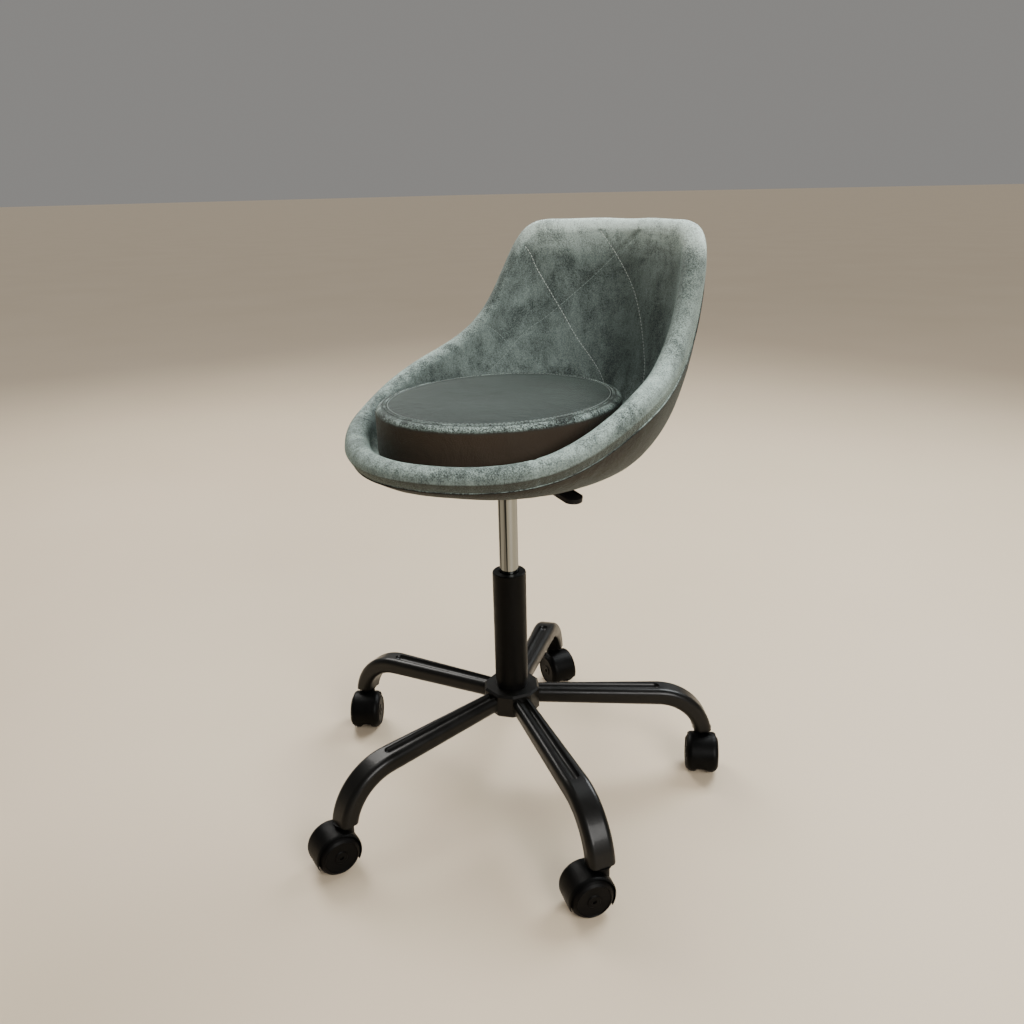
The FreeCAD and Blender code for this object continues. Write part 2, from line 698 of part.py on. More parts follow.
def lever():
    """Bent steel rod from over the release pin out to a flat plastic paddle."""
    radius = size("lever_rod_radius")
    height = size("lever_height")
    along, across = lever_directions()
    corner = V(size("lever_bend_x"), 0, height)
    inner_end = V(LEVER_INNER_X, 0, height)
    tip = corner + along * ((size("lever_tip_x") - corner.x) / along.x)
    before = corner - V(LEVER_BEND_REACH, 0, 0)
    after = corner + along * LEVER_BEND_REACH
    middle = (before + after) * 0.25 + corner * 0.5
    rod_end = tip - along * PADDLE_TIP
    path = Part.Wire([
        Part.makeLine(inner_end, before),
        Part.Arc(before, middle, after).toShape(),
        Part.makeLine(after, rod_end),
    ])
    section = Part.Wire(Part.makeCircle(radius, inner_end, V(1, 0, 0)))
    rod = path.makePipeShell([section], True, False)
    x = size("lever_pivot_x")
    half = EAR_GAP - EYE_CLEARANCE
    eye = Part.makeCylinder(EYE_RADIUS, 2 * half, V(x, -half, height), V(0, 1, 0))
    hole = Part.makeCylinder(PIVOT_RADIUS + size("running_gap"), THROUGH,
                             V(x, -THROUGH / 2, height), V(0, 1, 0))
    plain("lever_rod", rod.fuse(eye).cut(hole).removeSplitter())

    length = size("paddle_length")
    half_width = size("paddle_width") / 2
    thick = size("paddle_thick")
    normal = along.cross(across)
    root = tip - along * length
    neck = radius + PADDLE_WALL
    shoulder = root + along * PADDLE_SHOULDER
    nose = tip - along * half_width * PADDLE_NOSE
    edge = [
        Part.makeLine(root + across * neck, shoulder + across * half_width),
        Part.makeLine(shoulder + across * half_width, nose + across * half_width),
        Part.Arc(nose + across * half_width, tip, nose - across * half_width).toShape(),
        Part.makeLine(nose - across * half_width, shoulder - across * half_width),
        Part.makeLine(shoulder - across * half_width, root - across * neck),
        Part.makeLine(root - across * neck, root + across * neck),
    ]
    face = Part.Face(Part.Wire(edge))
    face.translate(normal * (-thick / 2))
    blade = face.extrude(normal * thick)
    sleeve = Part.makeCylinder(neck, length - PADDLE_TIP + PADDLE_WALL, root, along)
    blade = blade.fuse(sleeve).removeSplitter()
    border = size("dish_border")
    dish_half = half_width - border
    corner = tip - along * (border + half_width * PADDLE_NOSE)
    floor = normal * (thick / 2 - size("dish_depth"))
    near = corner - along * size("dish_length")
    outline = [near - across * dish_half, corner - across * dish_half,
               corner + across * dish_half, near + across * dish_half]
    dish = Part.Face(Part.makePolygon([p + floor for p in outline + outline[:1]])).extrude(normal * thick)
    rod_space = Part.makeCylinder(radius, length - PADDLE_TIP, root, along)
    plain("lever_paddle", blade.cut([rod_space, dish]))


SCREW_CROWN = 1.2
# the screws stop this far under the board's top
SCREW_SHORTFALL = 2.0
DRIVE_RADIUS = 2.2
DRIVE_DEPTH = 1.8
NUT_WALL = 1.2
NUT_FLANGE_RADIUS = 9.0
NUT_FLANGE = 1.5


def fasteners():
    """Four machine screws through the plate, and the tee nuts in the shell board."""
    plate_low = size("shell_low") - size("plate_thick")
    board_low = size("shell_low") + size("cover_thick") + size("layer_gap")
    board_top = board_low + size("board_thick")
    radius = size("screw_radius")
    head = Part.makeCylinder(size("screw_head_radius"), size("screw_head"),
                             V(0, 0, plate_low - size("screw_head")))
    crown = [e for e in head.Edges if lies_at(e, plate_low - size("screw_head"))]
    head = head.makeFillet(SCREW_CROWN, crown)
    drive = Part.makeCylinder(DRIVE_RADIUS, DRIVE_DEPTH, V(0, 0, plate_low - size("screw_head")))
    shank = Part.makeCylinder(radius, board_top - SCREW_SHORTFALL - plate_low, V(0, 0, plate_low))
    screw = head.cut(drive).fuse(shank).removeSplitter()
    barrel = Part.makeCylinder(radius + NUT_WALL, board_top - board_low, V(0, 0, board_low))
    flange = Part.makeCylinder(NUT_FLANGE_RADIUS, NUT_FLANGE, V(0, 0, board_top - NUT_FLANGE))
    nut = barrel.fuse(flange).cut(Part.makeCylinder(radius, THROUGH, V(0, 0, board_low))).removeSplitter()
    for label, form in (("plate_screws", screw), ("tee_nuts", nut)):
        copies = []
        for where in screw_places():
            copy = form.copy()
            copy.translate(where)
            copies.append(copy)
        plain(label, Part.Compound(copies))


# ---------------------------------------------------------------- bucket seat

# The rim of the bucket from the middle of its low front round the sitter's left side to the
# middle of its high back: x, y, and the height of the rim's top.  The other side mirrors it.
RIM = [
    (0, -233, 578), (117, -190, 578), (199, -101, 596), (220, 17, 638),
    (206, 107, 669), (188, 176, 718), (174, 219, 786), (152, 246, 835),
    (106, 266, 842), (56, 287, 842), (0, 296, 841),
]


def rim_loop():
    """All rim stations, once round, starting at the front."""
    left = [V(*station) for station in RIM]
    right = [V(-p.x, p.y, p.z) for p in reversed(left[1:-1])]
    return left + right


def section_frames():
    """For each station: the outward level direction, the roll's centre and the way out of the
    shell across the roll, square to the rim."""
    loop = rim_loop()
    count = len(loop)
    roll = size("roll_radius")
    frames = []
    for index, point in enumerate(loop):
        radial = V(point.x, point.y, 0).normalize()
        tangent = (loop[(index + 1) % count] - loop[index - 1]).normalize()
        outward = (radial - tangent * radial.dot(tangent)).normalize()
        crest = outward.cross(tangent).normalize()
        if crest.z < 0:
            crest = crest * -1
        centre = point - radial * roll - UP * roll
        frames.append((radial, point, centre, outward, crest))
    return frames


def outer_point(frame, depth, share):
    """A point on the bucket's section at a depth under its outside; share runs from 0 on the
    flat bottom to 1 level with the middle of the rim's roll."""
    radial, point, centre, outward, crest = frame
    low = size("shell_low")
    reach = math.hypot(point.x, point.y) * size("belly_reach")
    start = radial * size("bottom_radius") + UP * (low + depth)
    belly = radial * (reach - depth) + UP * (low + (point.z - low) * size("belly_rise") + depth)
    end = centre + outward * (size("roll_radius") - depth)
    return start * (1 - share) ** 2 + belly * (2 * share * (1 - share)) + end * share ** 2


def inner_point(frame, share):
    """A point on the inside of the upholstery, from the floor (0) up to the roll (1)."""
    radial, point, centre, outward, crest = frame
    floor = size("inner_floor")
    reach = math.hypot(point.x, point.y) * size("belly_reach") - size("inner_wall")
    start = radial * size("bottom_radius") + UP * floor
    belly = radial * reach + UP * (floor + (point.z - size("shell_low")) * size("belly_rise"))
    end = centre - outward * size("roll_radius")
    return start * (1 - share) ** 2 + belly * (2 * share * (1 - share)) + end * share ** 2


def roll_point(frame, degrees):
    """A point round the rim's roll: 0 is its outside, 90 its crest and 180 its inside."""
    radial, point, centre, outward, crest = frame
    turn = math.radians(degrees)
    return centre + (outward * math.cos(turn) + crest * math.sin(turn)) * size("roll_radius")


def share_below_roll(frame, drop):
    """The section share at a distance under the middle of the roll."""
    end = outer_point(frame, 0, 1.0)
    radial, point = frame[0], frame[1]
    low = size("shell_low")
    reach = math.hypot(point.x, point.y) * size("belly_reach")
    belly = radial * reach + UP * (low + (point.z - low) * size("belly_rise"))
    return 1.0 - drop / (2 * (end - belly).Length)


def closed_curve(points):
    curve = Part.BSplineCurve()
    parameters = [float(n) for n in range(len(points) + 1)]
    curve.interpolate(Points=points, PeriodicFlag=True, Parameters=parameters)
    return Part.Wire(curve.toShape())


def ring_of(frames, rule):
    return closed_curve([rule(frame) for frame in frames])


def skin_solid(panels, capped=True):
    """A closed solid from panels of rings.  Neighbouring panels share a ring.  The first and last
    rings are flat and closed with discs, or else they are the same ring."""
    faces = [Part.Face(panels[0][0]), Part.Face(panels[-1][-1])] if capped else []
    for rings in panels:
        faces += Part.makeLoft(rings, False, len(rings) == 2).Faces
    shell = Part.Compound(faces)
    shell.sewShape()
    solid = Part.Solid(shell.Shells[0])
    if solid.Volume < 0:
        solid.reverse()
    return solid


SHARES = [0.0, 0.12, 0.25, 0.4, 0.55, 0.7, 0.85, 1.0]
ROLL_TURNS = range(18, 180, 18)
# the shell board's edge stops this far under the middle of the roll
BOARD_DROP = 3.0


def bucket_layers():
    """Outer cover, moulded board and inner pad, one inside the other, and the padded roll that
    covers their edges."""
    frames = section_frames()
    cover = size("cover_thick")
    gap = size("layer_gap")
    board_out = cover + gap
    board_in = board_out + size("board_thick")
    pad_out = board_in + gap
    seam = size("seam_drop")

    def layer_panel(depth, drop, shares=SHARES):
        def ring_at(share):
            return ring_of(frames, lambda f: outer_point(f, depth, share * share_below_roll(f, drop)))
        return [ring_at(share) for share in shares]

    outside = layer_panel(0.0, seam + gap)
    inside = layer_panel(cover, seam + gap)
    shape = skin_solid([outside, [outside[-1], inside[-1]], inside[::-1]])
    hole_radius = size("screw_radius") + size("screw_clearance")
    through_middle = UP * (size("shell_low") - THROUGH / 2)
    holes = [Part.makeCylinder(hole_radius, THROUGH, where + through_middle) for where in screw_places()]
    plain("outer_cover", shape.cut(holes))

    outside = layer_panel(board_out, BOARD_DROP)
    inside = layer_panel(board_in, BOARD_DROP)
    shape = skin_solid([outside, [outside[-1], inside[-1]], inside[::-1]])
    board_top = size("shell_low") + board_in
    cutters = []
    for where in screw_places():
        barrel_middle = where + UP * (board_top - THROUGH / 2)
        cutters.append(Part.makeCylinder(size("screw_radius") + NUT_WALL, THROUGH, barrel_middle))
        flange_low = where + UP * (board_top - NUT_FLANGE)
        cutters.append(Part.makeCylinder(NUT_FLANGE_RADIUS, THROUGH, flange_low))
    plain("shell_board", shape.cut(cutters))

    back = layer_panel(pad_out, 0.0)
    front = [ring_of(frames, lambda f, s=s: inner_point(f, s)) for s in SHARES[::-1]]
    inner_edge = front[0]
    plain("inner_pad", skin_solid([back, [back[-1], inner_edge], front]))

    def fold_ring(depth, share):
        def rule(frame):
            seam_share = share_below_roll(frame, seam)
            return outer_point(frame, depth, seam_share + (1.0 - seam_share) * share)
        return ring_of(frames, rule)

    fold_shares = [1.0, 0.5, 0.0]
    fold_inside = [fold_ring(cover, share) for share in fold_shares]
    fold_outside = [fold_ring(0.0, share) for share in fold_shares[::-1]]
    roll = [ring_of(frames, lambda f, a=a: roll_point(f, a)) for a in ROLL_TURNS]
    around = [fold_outside[-1]] + roll + [inner_edge]
    plain("rim_roll", skin_solid([
        [inner_edge, back[-1]],
        [back[-1], fold_inside[0]],
        fold_inside,
        [fold_inside[-1], fold_outside[0]],
        fold_outside,
        *([here, beyond] for here, beyond in zip(around, around[1:])),
    ], capped=False))


def seat_cushion():
    """Boxed oval cushion with softened edges, lying on the bucket's floor."""
    half_x = size("cushion_half_x")
    half_y = size("cushion_half_y")
    oval = Part.Ellipse(V(0, 0, 0), half_y, half_x).toShape()
    oval.rotate(V(0, 0, 0), UP, 90)
    oval.translate(V(0, size("cushion_y"), size("cushion_low")))
    solid = Part.Face(Part.Wire(oval)).extrude(UP * (size("cushion_top") - size("cushion_low")))
    rims = [e for e in solid.Edges if lies_at(e, size("cushion_low")) or lies_at(e, size("cushion_top"))]
    plain("seat_cushion", solid.makeFillet(size("cushion_edge"), rims))


# ---------------------------------------------------------------- casters

def caster_hood(label, base, yaw):
    """Hood: a thin guard over both wheels, a web between them and a boss for the stem."""
    body = body_named(label)
    disc = circle(sketch_on(body, "XZ_Plane"), "Sizes.trail", "Sizes.wheel_radius", "Sizes.hood_radius")
    barrel = pad(body, disc, "2 * Sizes.wheel_outer", midplane=True)
    rims = edges_where(barrel.Shape, lambda e: e.BoundBox.YLength < 1e-6)
    dress(body, "Fillet", barrel, rims, "Sizes.hood_shoulder")
    boss = circle(sketch_on(body, "XY_Plane", "Sizes.wheel_radius"), "0", "0", "Sizes.boss_radius")
    pad(body, boss, "Sizes.boss_top - Sizes.wheel_radius")
    skirt = polygon(sketch_on(body, "XZ_Plane"), [
        ("-3 * Sizes.hood_radius", "-Sizes.wheel_radius"),
        ("3 * Sizes.hood_radius", "-Sizes.wheel_radius"),
        ("3 * Sizes.hood_radius", "Sizes.wheel_radius * 0.9"),
        ("Sizes.trail", "Sizes.wheel_radius * 0.5"),
        ("-3 * Sizes.hood_radius", "Sizes.wheel_radius * 0.3"),
    ])
    pocket(body, skirt, "4 * Sizes.wheel_outer", midplane=True)
    for turn_over in (False, True):
        side = "-" if turn_over else ""
        space = circle(sketch_on(body, "XZ_Plane", f"{side}Sizes.web_half"),
                       "Sizes.trail", "Sizes.wheel_radius", "Sizes.hood_inner")
        pocket(body, space, "2 * Sizes.wheel_outer", reverse=not turn_over)
    bore = circle(sketch_on(body, "XY_Plane", "Sizes.stem_low - 1"), "0", "0",
                  "Sizes.stem_radius + Sizes.running_gap")
    pocket(body, bore, "Sizes.boss_top", reverse=True)
    axle_hole = circle(sketch_on(body, "XZ_Plane"), "Sizes.trail", "Sizes.wheel_radius", "Sizes.axle_radius")
    pocket(body, axle_hole, "4 * Sizes.wheel_outer", midplane=True)
    place(body, base, yaw)
    keep(body, label)


def caster_stem(label, base):
    """Steel stem: its head is gripped in the arm's socket and its foot turns in the hood."""
    collar_low = "Sizes.boss_top + Sizes.float_gap"
    collar_top = "Sizes.arm_end_height - Sizes.socket_flange"
    turned(label, [
        ("0", "Sizes.stem_low"),
        ("Sizes.stem_radius", "Sizes.stem_low"),
        ("Sizes.stem_radius", collar_low),
        ("Sizes.stem_radius + Sizes.stem_collar", collar_low),
        ("Sizes.stem_radius + Sizes.stem_collar", collar_top),
        ("Sizes.stem_radius", collar_top),
        ("Sizes.stem_radius", "Sizes.stem_top - Sizes.stem_chamfer"),
        ("Sizes.stem_radius - Sizes.stem_chamfer", "Sizes.stem_top"),
        ("0", "Sizes.stem_top"),
    ], base)


def caster_wheel(label, axle_point, yaw, side):
    """One wheel: a crowned tread, a dished outer face and a running bore; its axis is level."""
    body = body_named(label)
    profile = [
        ("Sizes.axle_radius + Sizes.running_gap", "Sizes.wheel_inner"),
        ("Sizes.wheel_radius - 3", "Sizes.wheel_inner"),
        ("Sizes.wheel_radius - 0.8", "Sizes.wheel_inner + 1.2"),
        ("Sizes.wheel_radius", "Sizes.wheel_inner + 3.5"),
        ("Sizes.wheel_radius", "Sizes.wheel_outer - 8"),
        ("Sizes.wheel_radius - 1.2", "Sizes.wheel_outer - 5"),
        ("Sizes.wheel_radius - 3.4", "Sizes.wheel_outer - 2.2"),
        ("Sizes.wheel_radius - 6.5", "Sizes.wheel_outer"),
        ("Sizes.wheel_radius - 7.5", "Sizes.wheel_outer - 1.2"),
        ("Sizes.wheel_radius * 0.32", "Sizes.wheel_outer - 1.6"),
        ("Sizes.wheel_radius * 0.28", "Sizes.wheel_outer - 0.4"),
        ("Sizes.axle_radius + Sizes.running_gap", "Sizes.wheel_outer - 0.4"),
    ]
    sketch = polygon(sketch_on(body, "XZ_Plane"), profile)
    turn = body.newObject("PartDesign::Revolution", "turn")
    turn.Profile = sketch
    turn.ReferenceAxis = (sketch, ["V_Axis"])
    turn.Angle = 360
    level = FreeCAD.Rotation(V(1, 0, 0), -90.0 * side)
    body.Placement = FreeCAD.Placement(axle_point, FreeCAD.Rotation(UP, yaw) * level)
    keep(body, label)


def caster_axle(label, axle_point, yaw):
    length = "2 * Sizes.wheel_outer - 4"
    axle = drum(label + "_form", "Sizes.axle_radius", length, V(0, 0, 0))
    level = FreeCAD.Rotation(V(1, 0, 0), -90.0)
    half = number(length) / 2
    turn = FreeCAD.Rotation(UP, yaw) * level
    axle.Placement = FreeCAD.Placement(axle_point - turn.multVec(UP) * half, turn)
    keep(axle, label)


def casters():
    for index, where in enumerate(caster_positions(), start=1):
        yaw = CASTER_TRAIL_ANGLES[index - 1] - 90.0
        turn = math.radians(yaw)
        trail = V(math.cos(turn), math.sin(turn), 0) * size("trail")
        axle_point = where + trail + UP * size("wheel_radius")
        caster_stem(f"caster_stem_{index}", where)
        caster_hood(f"caster_hood_{index}", where, yaw)
        caster_axle(f"caster_axle_{index}", axle_point, yaw)
        caster_wheel(f"wheel_left_{index}", axle_point, yaw, 1)
        caster_wheel(f"wheel_right_{index}", axle_point, yaw, -1)


# ---------------------------------------------------------------- build and write

hub()
base_arms()
arm_foot_sockets()
column()
thrust_bearing()
piston_rod()
gas_cylinder()
seat_plate()
taper_socket()
lever_bracket()
lever()
fasteners()
bucket_layers()
seat_cushion()
casters()
doc.recompute()

for item in doc.Objects:
    if "Invalid" in item.State or "Error" in item.State:
        raise ValueError(f"{item.Name} ({item.Label}) failed: {item.State}")
for item in PARTS:
    if item.Shape.isNull() or not item.Shape.isValid():
        raise ValueError(f"{item.Label} has no valid shape")

os.makedirs("parts", exist_ok=True)
for item in PARTS:
    item.Shape.exportStep(f"parts/{item.Label}.step")
    print(f"{item.Label:20s} {item.Shape.Volume / 1000:9.1f} cm3  solids {len(item.Shape.Solids)}")
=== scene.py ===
import math

import bmesh
import bpy
import numpy as np
from mathutils import Matrix, Vector, kdtree, noise


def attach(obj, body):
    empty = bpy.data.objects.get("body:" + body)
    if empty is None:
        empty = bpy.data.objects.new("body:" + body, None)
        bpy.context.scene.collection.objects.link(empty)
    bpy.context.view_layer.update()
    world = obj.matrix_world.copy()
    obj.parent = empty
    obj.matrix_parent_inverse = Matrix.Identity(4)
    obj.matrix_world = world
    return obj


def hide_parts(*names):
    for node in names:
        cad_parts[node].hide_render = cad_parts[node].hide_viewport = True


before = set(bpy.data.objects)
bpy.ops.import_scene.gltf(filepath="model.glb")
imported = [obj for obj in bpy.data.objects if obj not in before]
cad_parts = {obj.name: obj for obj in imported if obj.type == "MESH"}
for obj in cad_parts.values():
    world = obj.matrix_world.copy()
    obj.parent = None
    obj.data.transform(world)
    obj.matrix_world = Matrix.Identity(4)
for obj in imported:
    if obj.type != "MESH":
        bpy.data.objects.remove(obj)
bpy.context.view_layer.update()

MM = 0.001
SEAT = "seat"
FLOOR_SIZE = 400.0

# ---------------------------------------------------------------- camera and light

# The camera was solved by another program, from the places of the casters, the column and the rim
# in the photograph.  Angles are in radians, DISTANCE and EYE_HEIGHT in metres, LENS in millimetres.
AZIMUTH = math.radians(43.0)
PITCH = 0.3497
YAW = 0.0052
ROLL_TILT = -0.023
DISTANCE = 1.196
EYE_HEIGHT = 0.884
LENS = 30.96
SENSOR_WIDTH = 36.0
NEAR_CLIP = 0.02

SUN_STRENGTH = 1.1
SUN_ANGLE = math.radians(35.0)
SUN_DIRECTION = (0.30, -0.16, -1.0)
WARM_WHITE = (1.0, 0.98, 0.95)
LAMP_SIZE = 1.6
# each lamp's place, the point that it faces, its power in watts and its colour
LAMPS = {
    "window": ((-2.6, 0.7, 2.4), (0, 0, 0.6), 75, (1.0, 0.97, 0.92)),
    "back_sky": ((0.2, 2.2, 2.3), (0, 0.1, 0.75), 95, (0.95, 0.99, 1.0)),
    "far_room": ((2.5, -0.7, 1.6), (0, 0.05, 0.68), 92, WARM_WHITE),
}
ROOM_COLOUR = (0.80, 0.78, 0.75, 1)
ROOM_STRENGTH = 0.32


def turned_by_azimuth(v):
    c, s = math.cos(AZIMUTH), math.sin(AZIMUTH)
    return Vector((v.x * c - v.y * s, v.x * s + v.y * c, v.z))


def make_camera():
    forward = Vector((math.sin(YAW) * math.cos(PITCH), math.cos(YAW) * math.cos(PITCH), -math.sin(PITCH)))
    right = forward.cross(Vector((0, 0, 1))).normalized()
    up = right.cross(forward)
    c, s = math.cos(ROLL_TILT), math.sin(ROLL_TILT)
    right, up = right * c + up * s, up * c - right * s
    forward, right, up = (turned_by_azimuth(v) for v in (forward, right, up))
    camera = bpy.data.objects.new("camera", bpy.data.cameras.new("camera"))
    bpy.context.scene.collection.objects.link(camera)
    place = Vector((DISTANCE * math.sin(AZIMUTH), -DISTANCE * math.cos(AZIMUTH), EYE_HEIGHT))
    camera.matrix_world = Matrix((
        (right.x, up.x, -forward.x, place.x),
        (right.y, up.y, -forward.y, place.y),
        (right.z, up.z, -forward.z, place.z),
        (0, 0, 0, 1),
    ))
    camera.data.lens = LENS
    camera.data.sensor_width = SENSOR_WIDTH
    camera.data.clip_start = NEAR_CLIP
    bpy.context.scene.camera = camera


def place_light(name, light, direction):
    """The object of a light that shines along a direction."""
    holder = bpy.data.objects.new(name, light)
    bpy.context.scene.collection.objects.link(holder)
    holder.rotation_euler = Vector(direction).to_track_quat("-Z", "Y").to_euler()
    return holder


def make_lights():
    sun = bpy.data.lights.new("overhead", "SUN")
    sun.energy = SUN_STRENGTH
    sun.angle = SUN_ANGLE
    sun.color = WARM_WHITE
    place_light("overhead", sun, SUN_DIRECTION)
    for name, (place, target, power, colour) in LAMPS.items():
        lamp = bpy.data.lights.new(name, "AREA")
        lamp.shape = "DISK"
        lamp.size = LAMP_SIZE
        lamp.energy = power
        lamp.color = colour
        place_light(name, lamp, Vector(target) - Vector(place)).location = place
    world = bpy.data.worlds.new("studio")
    world.use_nodes = True
    background = world.node_tree.nodes["Background"]
    background.inputs["Color"].default_value = ROOM_COLOUR
    background.inputs["Strength"].default_value = ROOM_STRENGTH
    bpy.context.scene.world = world


# ---------------------------------------------------------------- materials

def srgb(red, green, blue):
    def linear(value):
        value /= 255.0
        return value / 12.92 if value <= 0.04045 else ((value + 0.055) / 1.055) ** 2.4
    return (linear(red), linear(green), linear(blue), 1.0)


class Finish:
    """A node material that is put together a node at a time."""

    def __init__(self, name, **shader):
        self.material = bpy.data.materials.new(name)
        self.material.use_nodes = True
        self.tree = self.material.node_tree
        self.shader = self.tree.nodes["Principled BSDF"]
        for key, value in shader.items():
            self.shader.inputs[key.replace("_", " ")].default_value = value
        self.coordinates = self.tree.nodes.new("ShaderNodeTexCoord").outputs["Object"]

    def link(self, output, socket):
        self.tree.links.new(output, socket)

    def upward(self):
        """How far the surface faces up: 1 on top, 0 on a wall, -1 underneath."""
        node = self.tree.nodes.new("ShaderNodeSeparateXYZ")
        geometry = self.tree.nodes.new("ShaderNodeTexCoord")
        self.link(geometry.outputs["Normal"], node.inputs["Vector"])
        return node.outputs["Z"]

    def height(self):
        node = self.tree.nodes.new("ShaderNodeSeparateXYZ")
        self.link(self.coordinates, node.inputs["Vector"])
        return node.outputs["Z"]

    def stretched(self, scale):
        node = self.tree.nodes.new("ShaderNodeMapping")
        node.inputs["Scale"].default_value = scale
        self.link(self.coordinates, node.inputs["Vector"])
        return node.outputs["Vector"]

    def noise(self, scale, detail=3.0, roughness=0.5, distortion=0.0, vector=None):
        node = self.tree.nodes.new("ShaderNodeTexNoise")
        node.inputs["Scale"].default_value = scale
        node.inputs["Detail"].default_value = detail
        node.inputs["Roughness"].default_value = roughness
        node.inputs["Distortion"].default_value = distortion
        self.link(vector or self.coordinates, node.inputs["Vector"])
        return node.outputs["Fac"]

    def span(self, value, low, high, to_low=0.0, to_high=1.0):
        node = self.tree.nodes.new("ShaderNodeMapRange")
        for key, number in (("From Min", low), ("From Max", high), ("To Min", to_low), ("To Max", to_high)):
            node.inputs[key].default_value = number
        self.link(value, node.inputs["Value"])
        return node.outputs["Result"]

    def mix(self, factor, first, second):
        node = self.tree.nodes.new("ShaderNodeMix")
        node.data_type = "RGBA"
        colour_in = [i for i in node.inputs if i.type == "RGBA"]
        for socket, value in zip([node.inputs[0]] + colour_in, (factor, first, second)):
            if isinstance(value, (tuple, float)):
                socket.default_value = value
            else:
                self.link(value, socket)
        return [o for o in node.outputs if o.type == "RGBA"][0]

    def math(self, kind, first, second):
        node = self.tree.nodes.new("ShaderNodeMath")
        node.operation = kind
        for socket, value in zip(node.inputs, (first, second)):
            if isinstance(value, float):
                socket.default_value = value
            else:
                self.link(value, socket)
        return node.outputs["Value"]

    def bump(self, height, strength, distance, before=None):
        node = self.tree.nodes.new("ShaderNodeBump")
        node.inputs["Strength"].default_value = strength
        node.inputs["Distance"].default_value = distance
        self.link(height, node.inputs["Height"])
        if before is not None:
            self.link(before, node.inputs["Normal"])
        return node.outputs["Normal"]

    def finish(self, colour=None, roughness=None, normal=None):
        for key, value in (("Base Color", colour), ("Roughness", roughness), ("Normal", normal)):
            if value is not None:
                self.link(value, self.shader.inputs[key])
        return self.material


def velvet(name, dark, light, painted_highlight, highlight_slopes, painted_shade, painted_shade_slopes, sheen):
    """Short-pile velvet: brushed patches, a fine crushed speckle and the pile itself.  A painted
    highlight makes the pile paler where the surface turns upwards, over the highlight slopes, and a
    brighter painted highlight lies near the top of the back.  Painted shade takes it to the dark
    shade colour where the surface turns down, over the shade slopes."""
    f = Finish(name, Roughness=0.72, Specular_IOR_Level=0.22, Sheen_Weight=sheen,
               Sheen_Roughness=0.32, Sheen_Tint=SHEEN)
    patches = f.span(f.noise(13.0, 5.0, 0.66, 0.9), 0.38, 0.62)
    streaks = f.span(f.noise(70.0, 5.0, 0.72, 0.4, f.stretched((1.0, 1.0, 0.55))), 0.38, 0.64)
    speckle = f.span(f.noise(560.0, 4.0, 0.85, 0.2), 0.38, 0.62)
    pile = f.noise(2100.0, 2.0, 0.6)
    brushed = f.math("ADD", f.math("MULTIPLY", patches, 0.6), f.math("MULTIPLY", streaks, 0.4))
    mixed = f.math("ADD", f.math("MULTIPLY", brushed, 0.5), f.math("MULTIPLY", speckle, 0.5))
    colour = f.mix(f.span(mixed, 0.15, 0.85), dark, light)
    # painted highlight: the pile is painted paler on upward slopes, and brighter still near the top of the
    # back
    slope = f.upward()
    rising = f.span(slope, highlight_slopes[0], highlight_slopes[1])
    falling = f.span(slope, highlight_slopes[2], highlight_slopes[3], 1.0, 0.0)
    painted_highlight_mask = f.math("MULTIPLY", rising, falling)
    painted_top_highlight = f.math("MULTIPLY", f.span(f.height(), *PAINTED_TOP_HIGHLIGHT_HEIGHTS), f.span(slope, *PAINTED_TOP_HIGHLIGHT_SLOPES))
    painted_highlight_mask = f.math("MAXIMUM", painted_highlight_mask, painted_top_highlight)
    painted_shine = f.math("MULTIPLY", painted_highlight_mask, f.span(mixed, 0.38, 0.80, 0.0, 0.95))
    colour = f.mix(painted_shine, colour, painted_highlight)
    colour = f.mix(f.math("MULTIPLY", painted_top_highlight, f.span(mixed, 0.2, 0.7, 0.25, 0.95)), colour, PAINTED_TOP_HIGHLIGHT_COLOUR)
    # painted shade: the pile is painted towards the dark shade colour on downward slopes
    colour = f.mix(f.span(slope, painted_shade_slopes[0], painted_shade_slopes[1], 0.0, 0.85), colour, painted_shade)
    normal = f.bump(pile, 0.35, 0.0005)
    normal = f.bump(speckle, 0.35, 0.0010, normal)
    normal = f.bump(patches, 0.22, 0.004, normal)
    return f.finish(colour, None, normal)


def coated_steel():
    f = Finish("gloss_black_coat", Roughness=0.36, Specular_IOR_Level=0.16, Coat_Weight=0.10,
               Coat_Roughness=0.12)
    peel = f.noise(260.0, 2.0, 0.5)
    dust = f.span(f.noise(22.0, 5.0, 0.65), 0.35, 0.75)
    colour = f.mix(dust, srgb(5, 5, 4), srgb(14, 13, 11))
    roughness = f.span(f.noise(34.0, 4.0, 0.6), 0.3, 0.7, 0.30, 0.44)
    return f.finish(colour, roughness, f.bump(peel, 0.08, 0.0006))


def matt_steel():
    f = Finish("matt_black_coat", Roughness=0.38, Specular_IOR_Level=0.08)
    grain = f.noise(900.0, 3.0, 0.6)
    colour = f.mix(f.span(f.noise(30.0, 4.0, 0.6), 0.3, 0.7), srgb(4, 4, 4), srgb(9, 9, 8))
    return f.finish(colour, f.span(f.noise(50.0, 3.0), 0.3, 0.7, 0.36, 0.5), f.bump(grain, 0.15, 0.0004))


def chrome():
    f = Finish("polished_chrome", Metallic=1.0, Roughness=0.07)
    lines = f.noise(60.0, 3.0, 0.6, 0.0, f.stretched((30.0, 30.0, 0.6)))
    # painted reflection: broad light and dark vertical bands in the chrome's colour
    painted_reflection_bands = f.span(f.noise(60.0, 1.0, 0.4, 0.0, f.stretched((4.0, 4.0, 0.02))), 0.44, 0.56)
    colour = f.mix(painted_reflection_bands, srgb(34, 36, 36), srgb(140, 143, 141))
    roughness = f.span(f.noise(40.0, 4.0, 0.6), 0.35, 0.7, 0.05, 0.13)
    return f.finish(colour, roughness, f.bump(lines, 0.03, 0.0002))


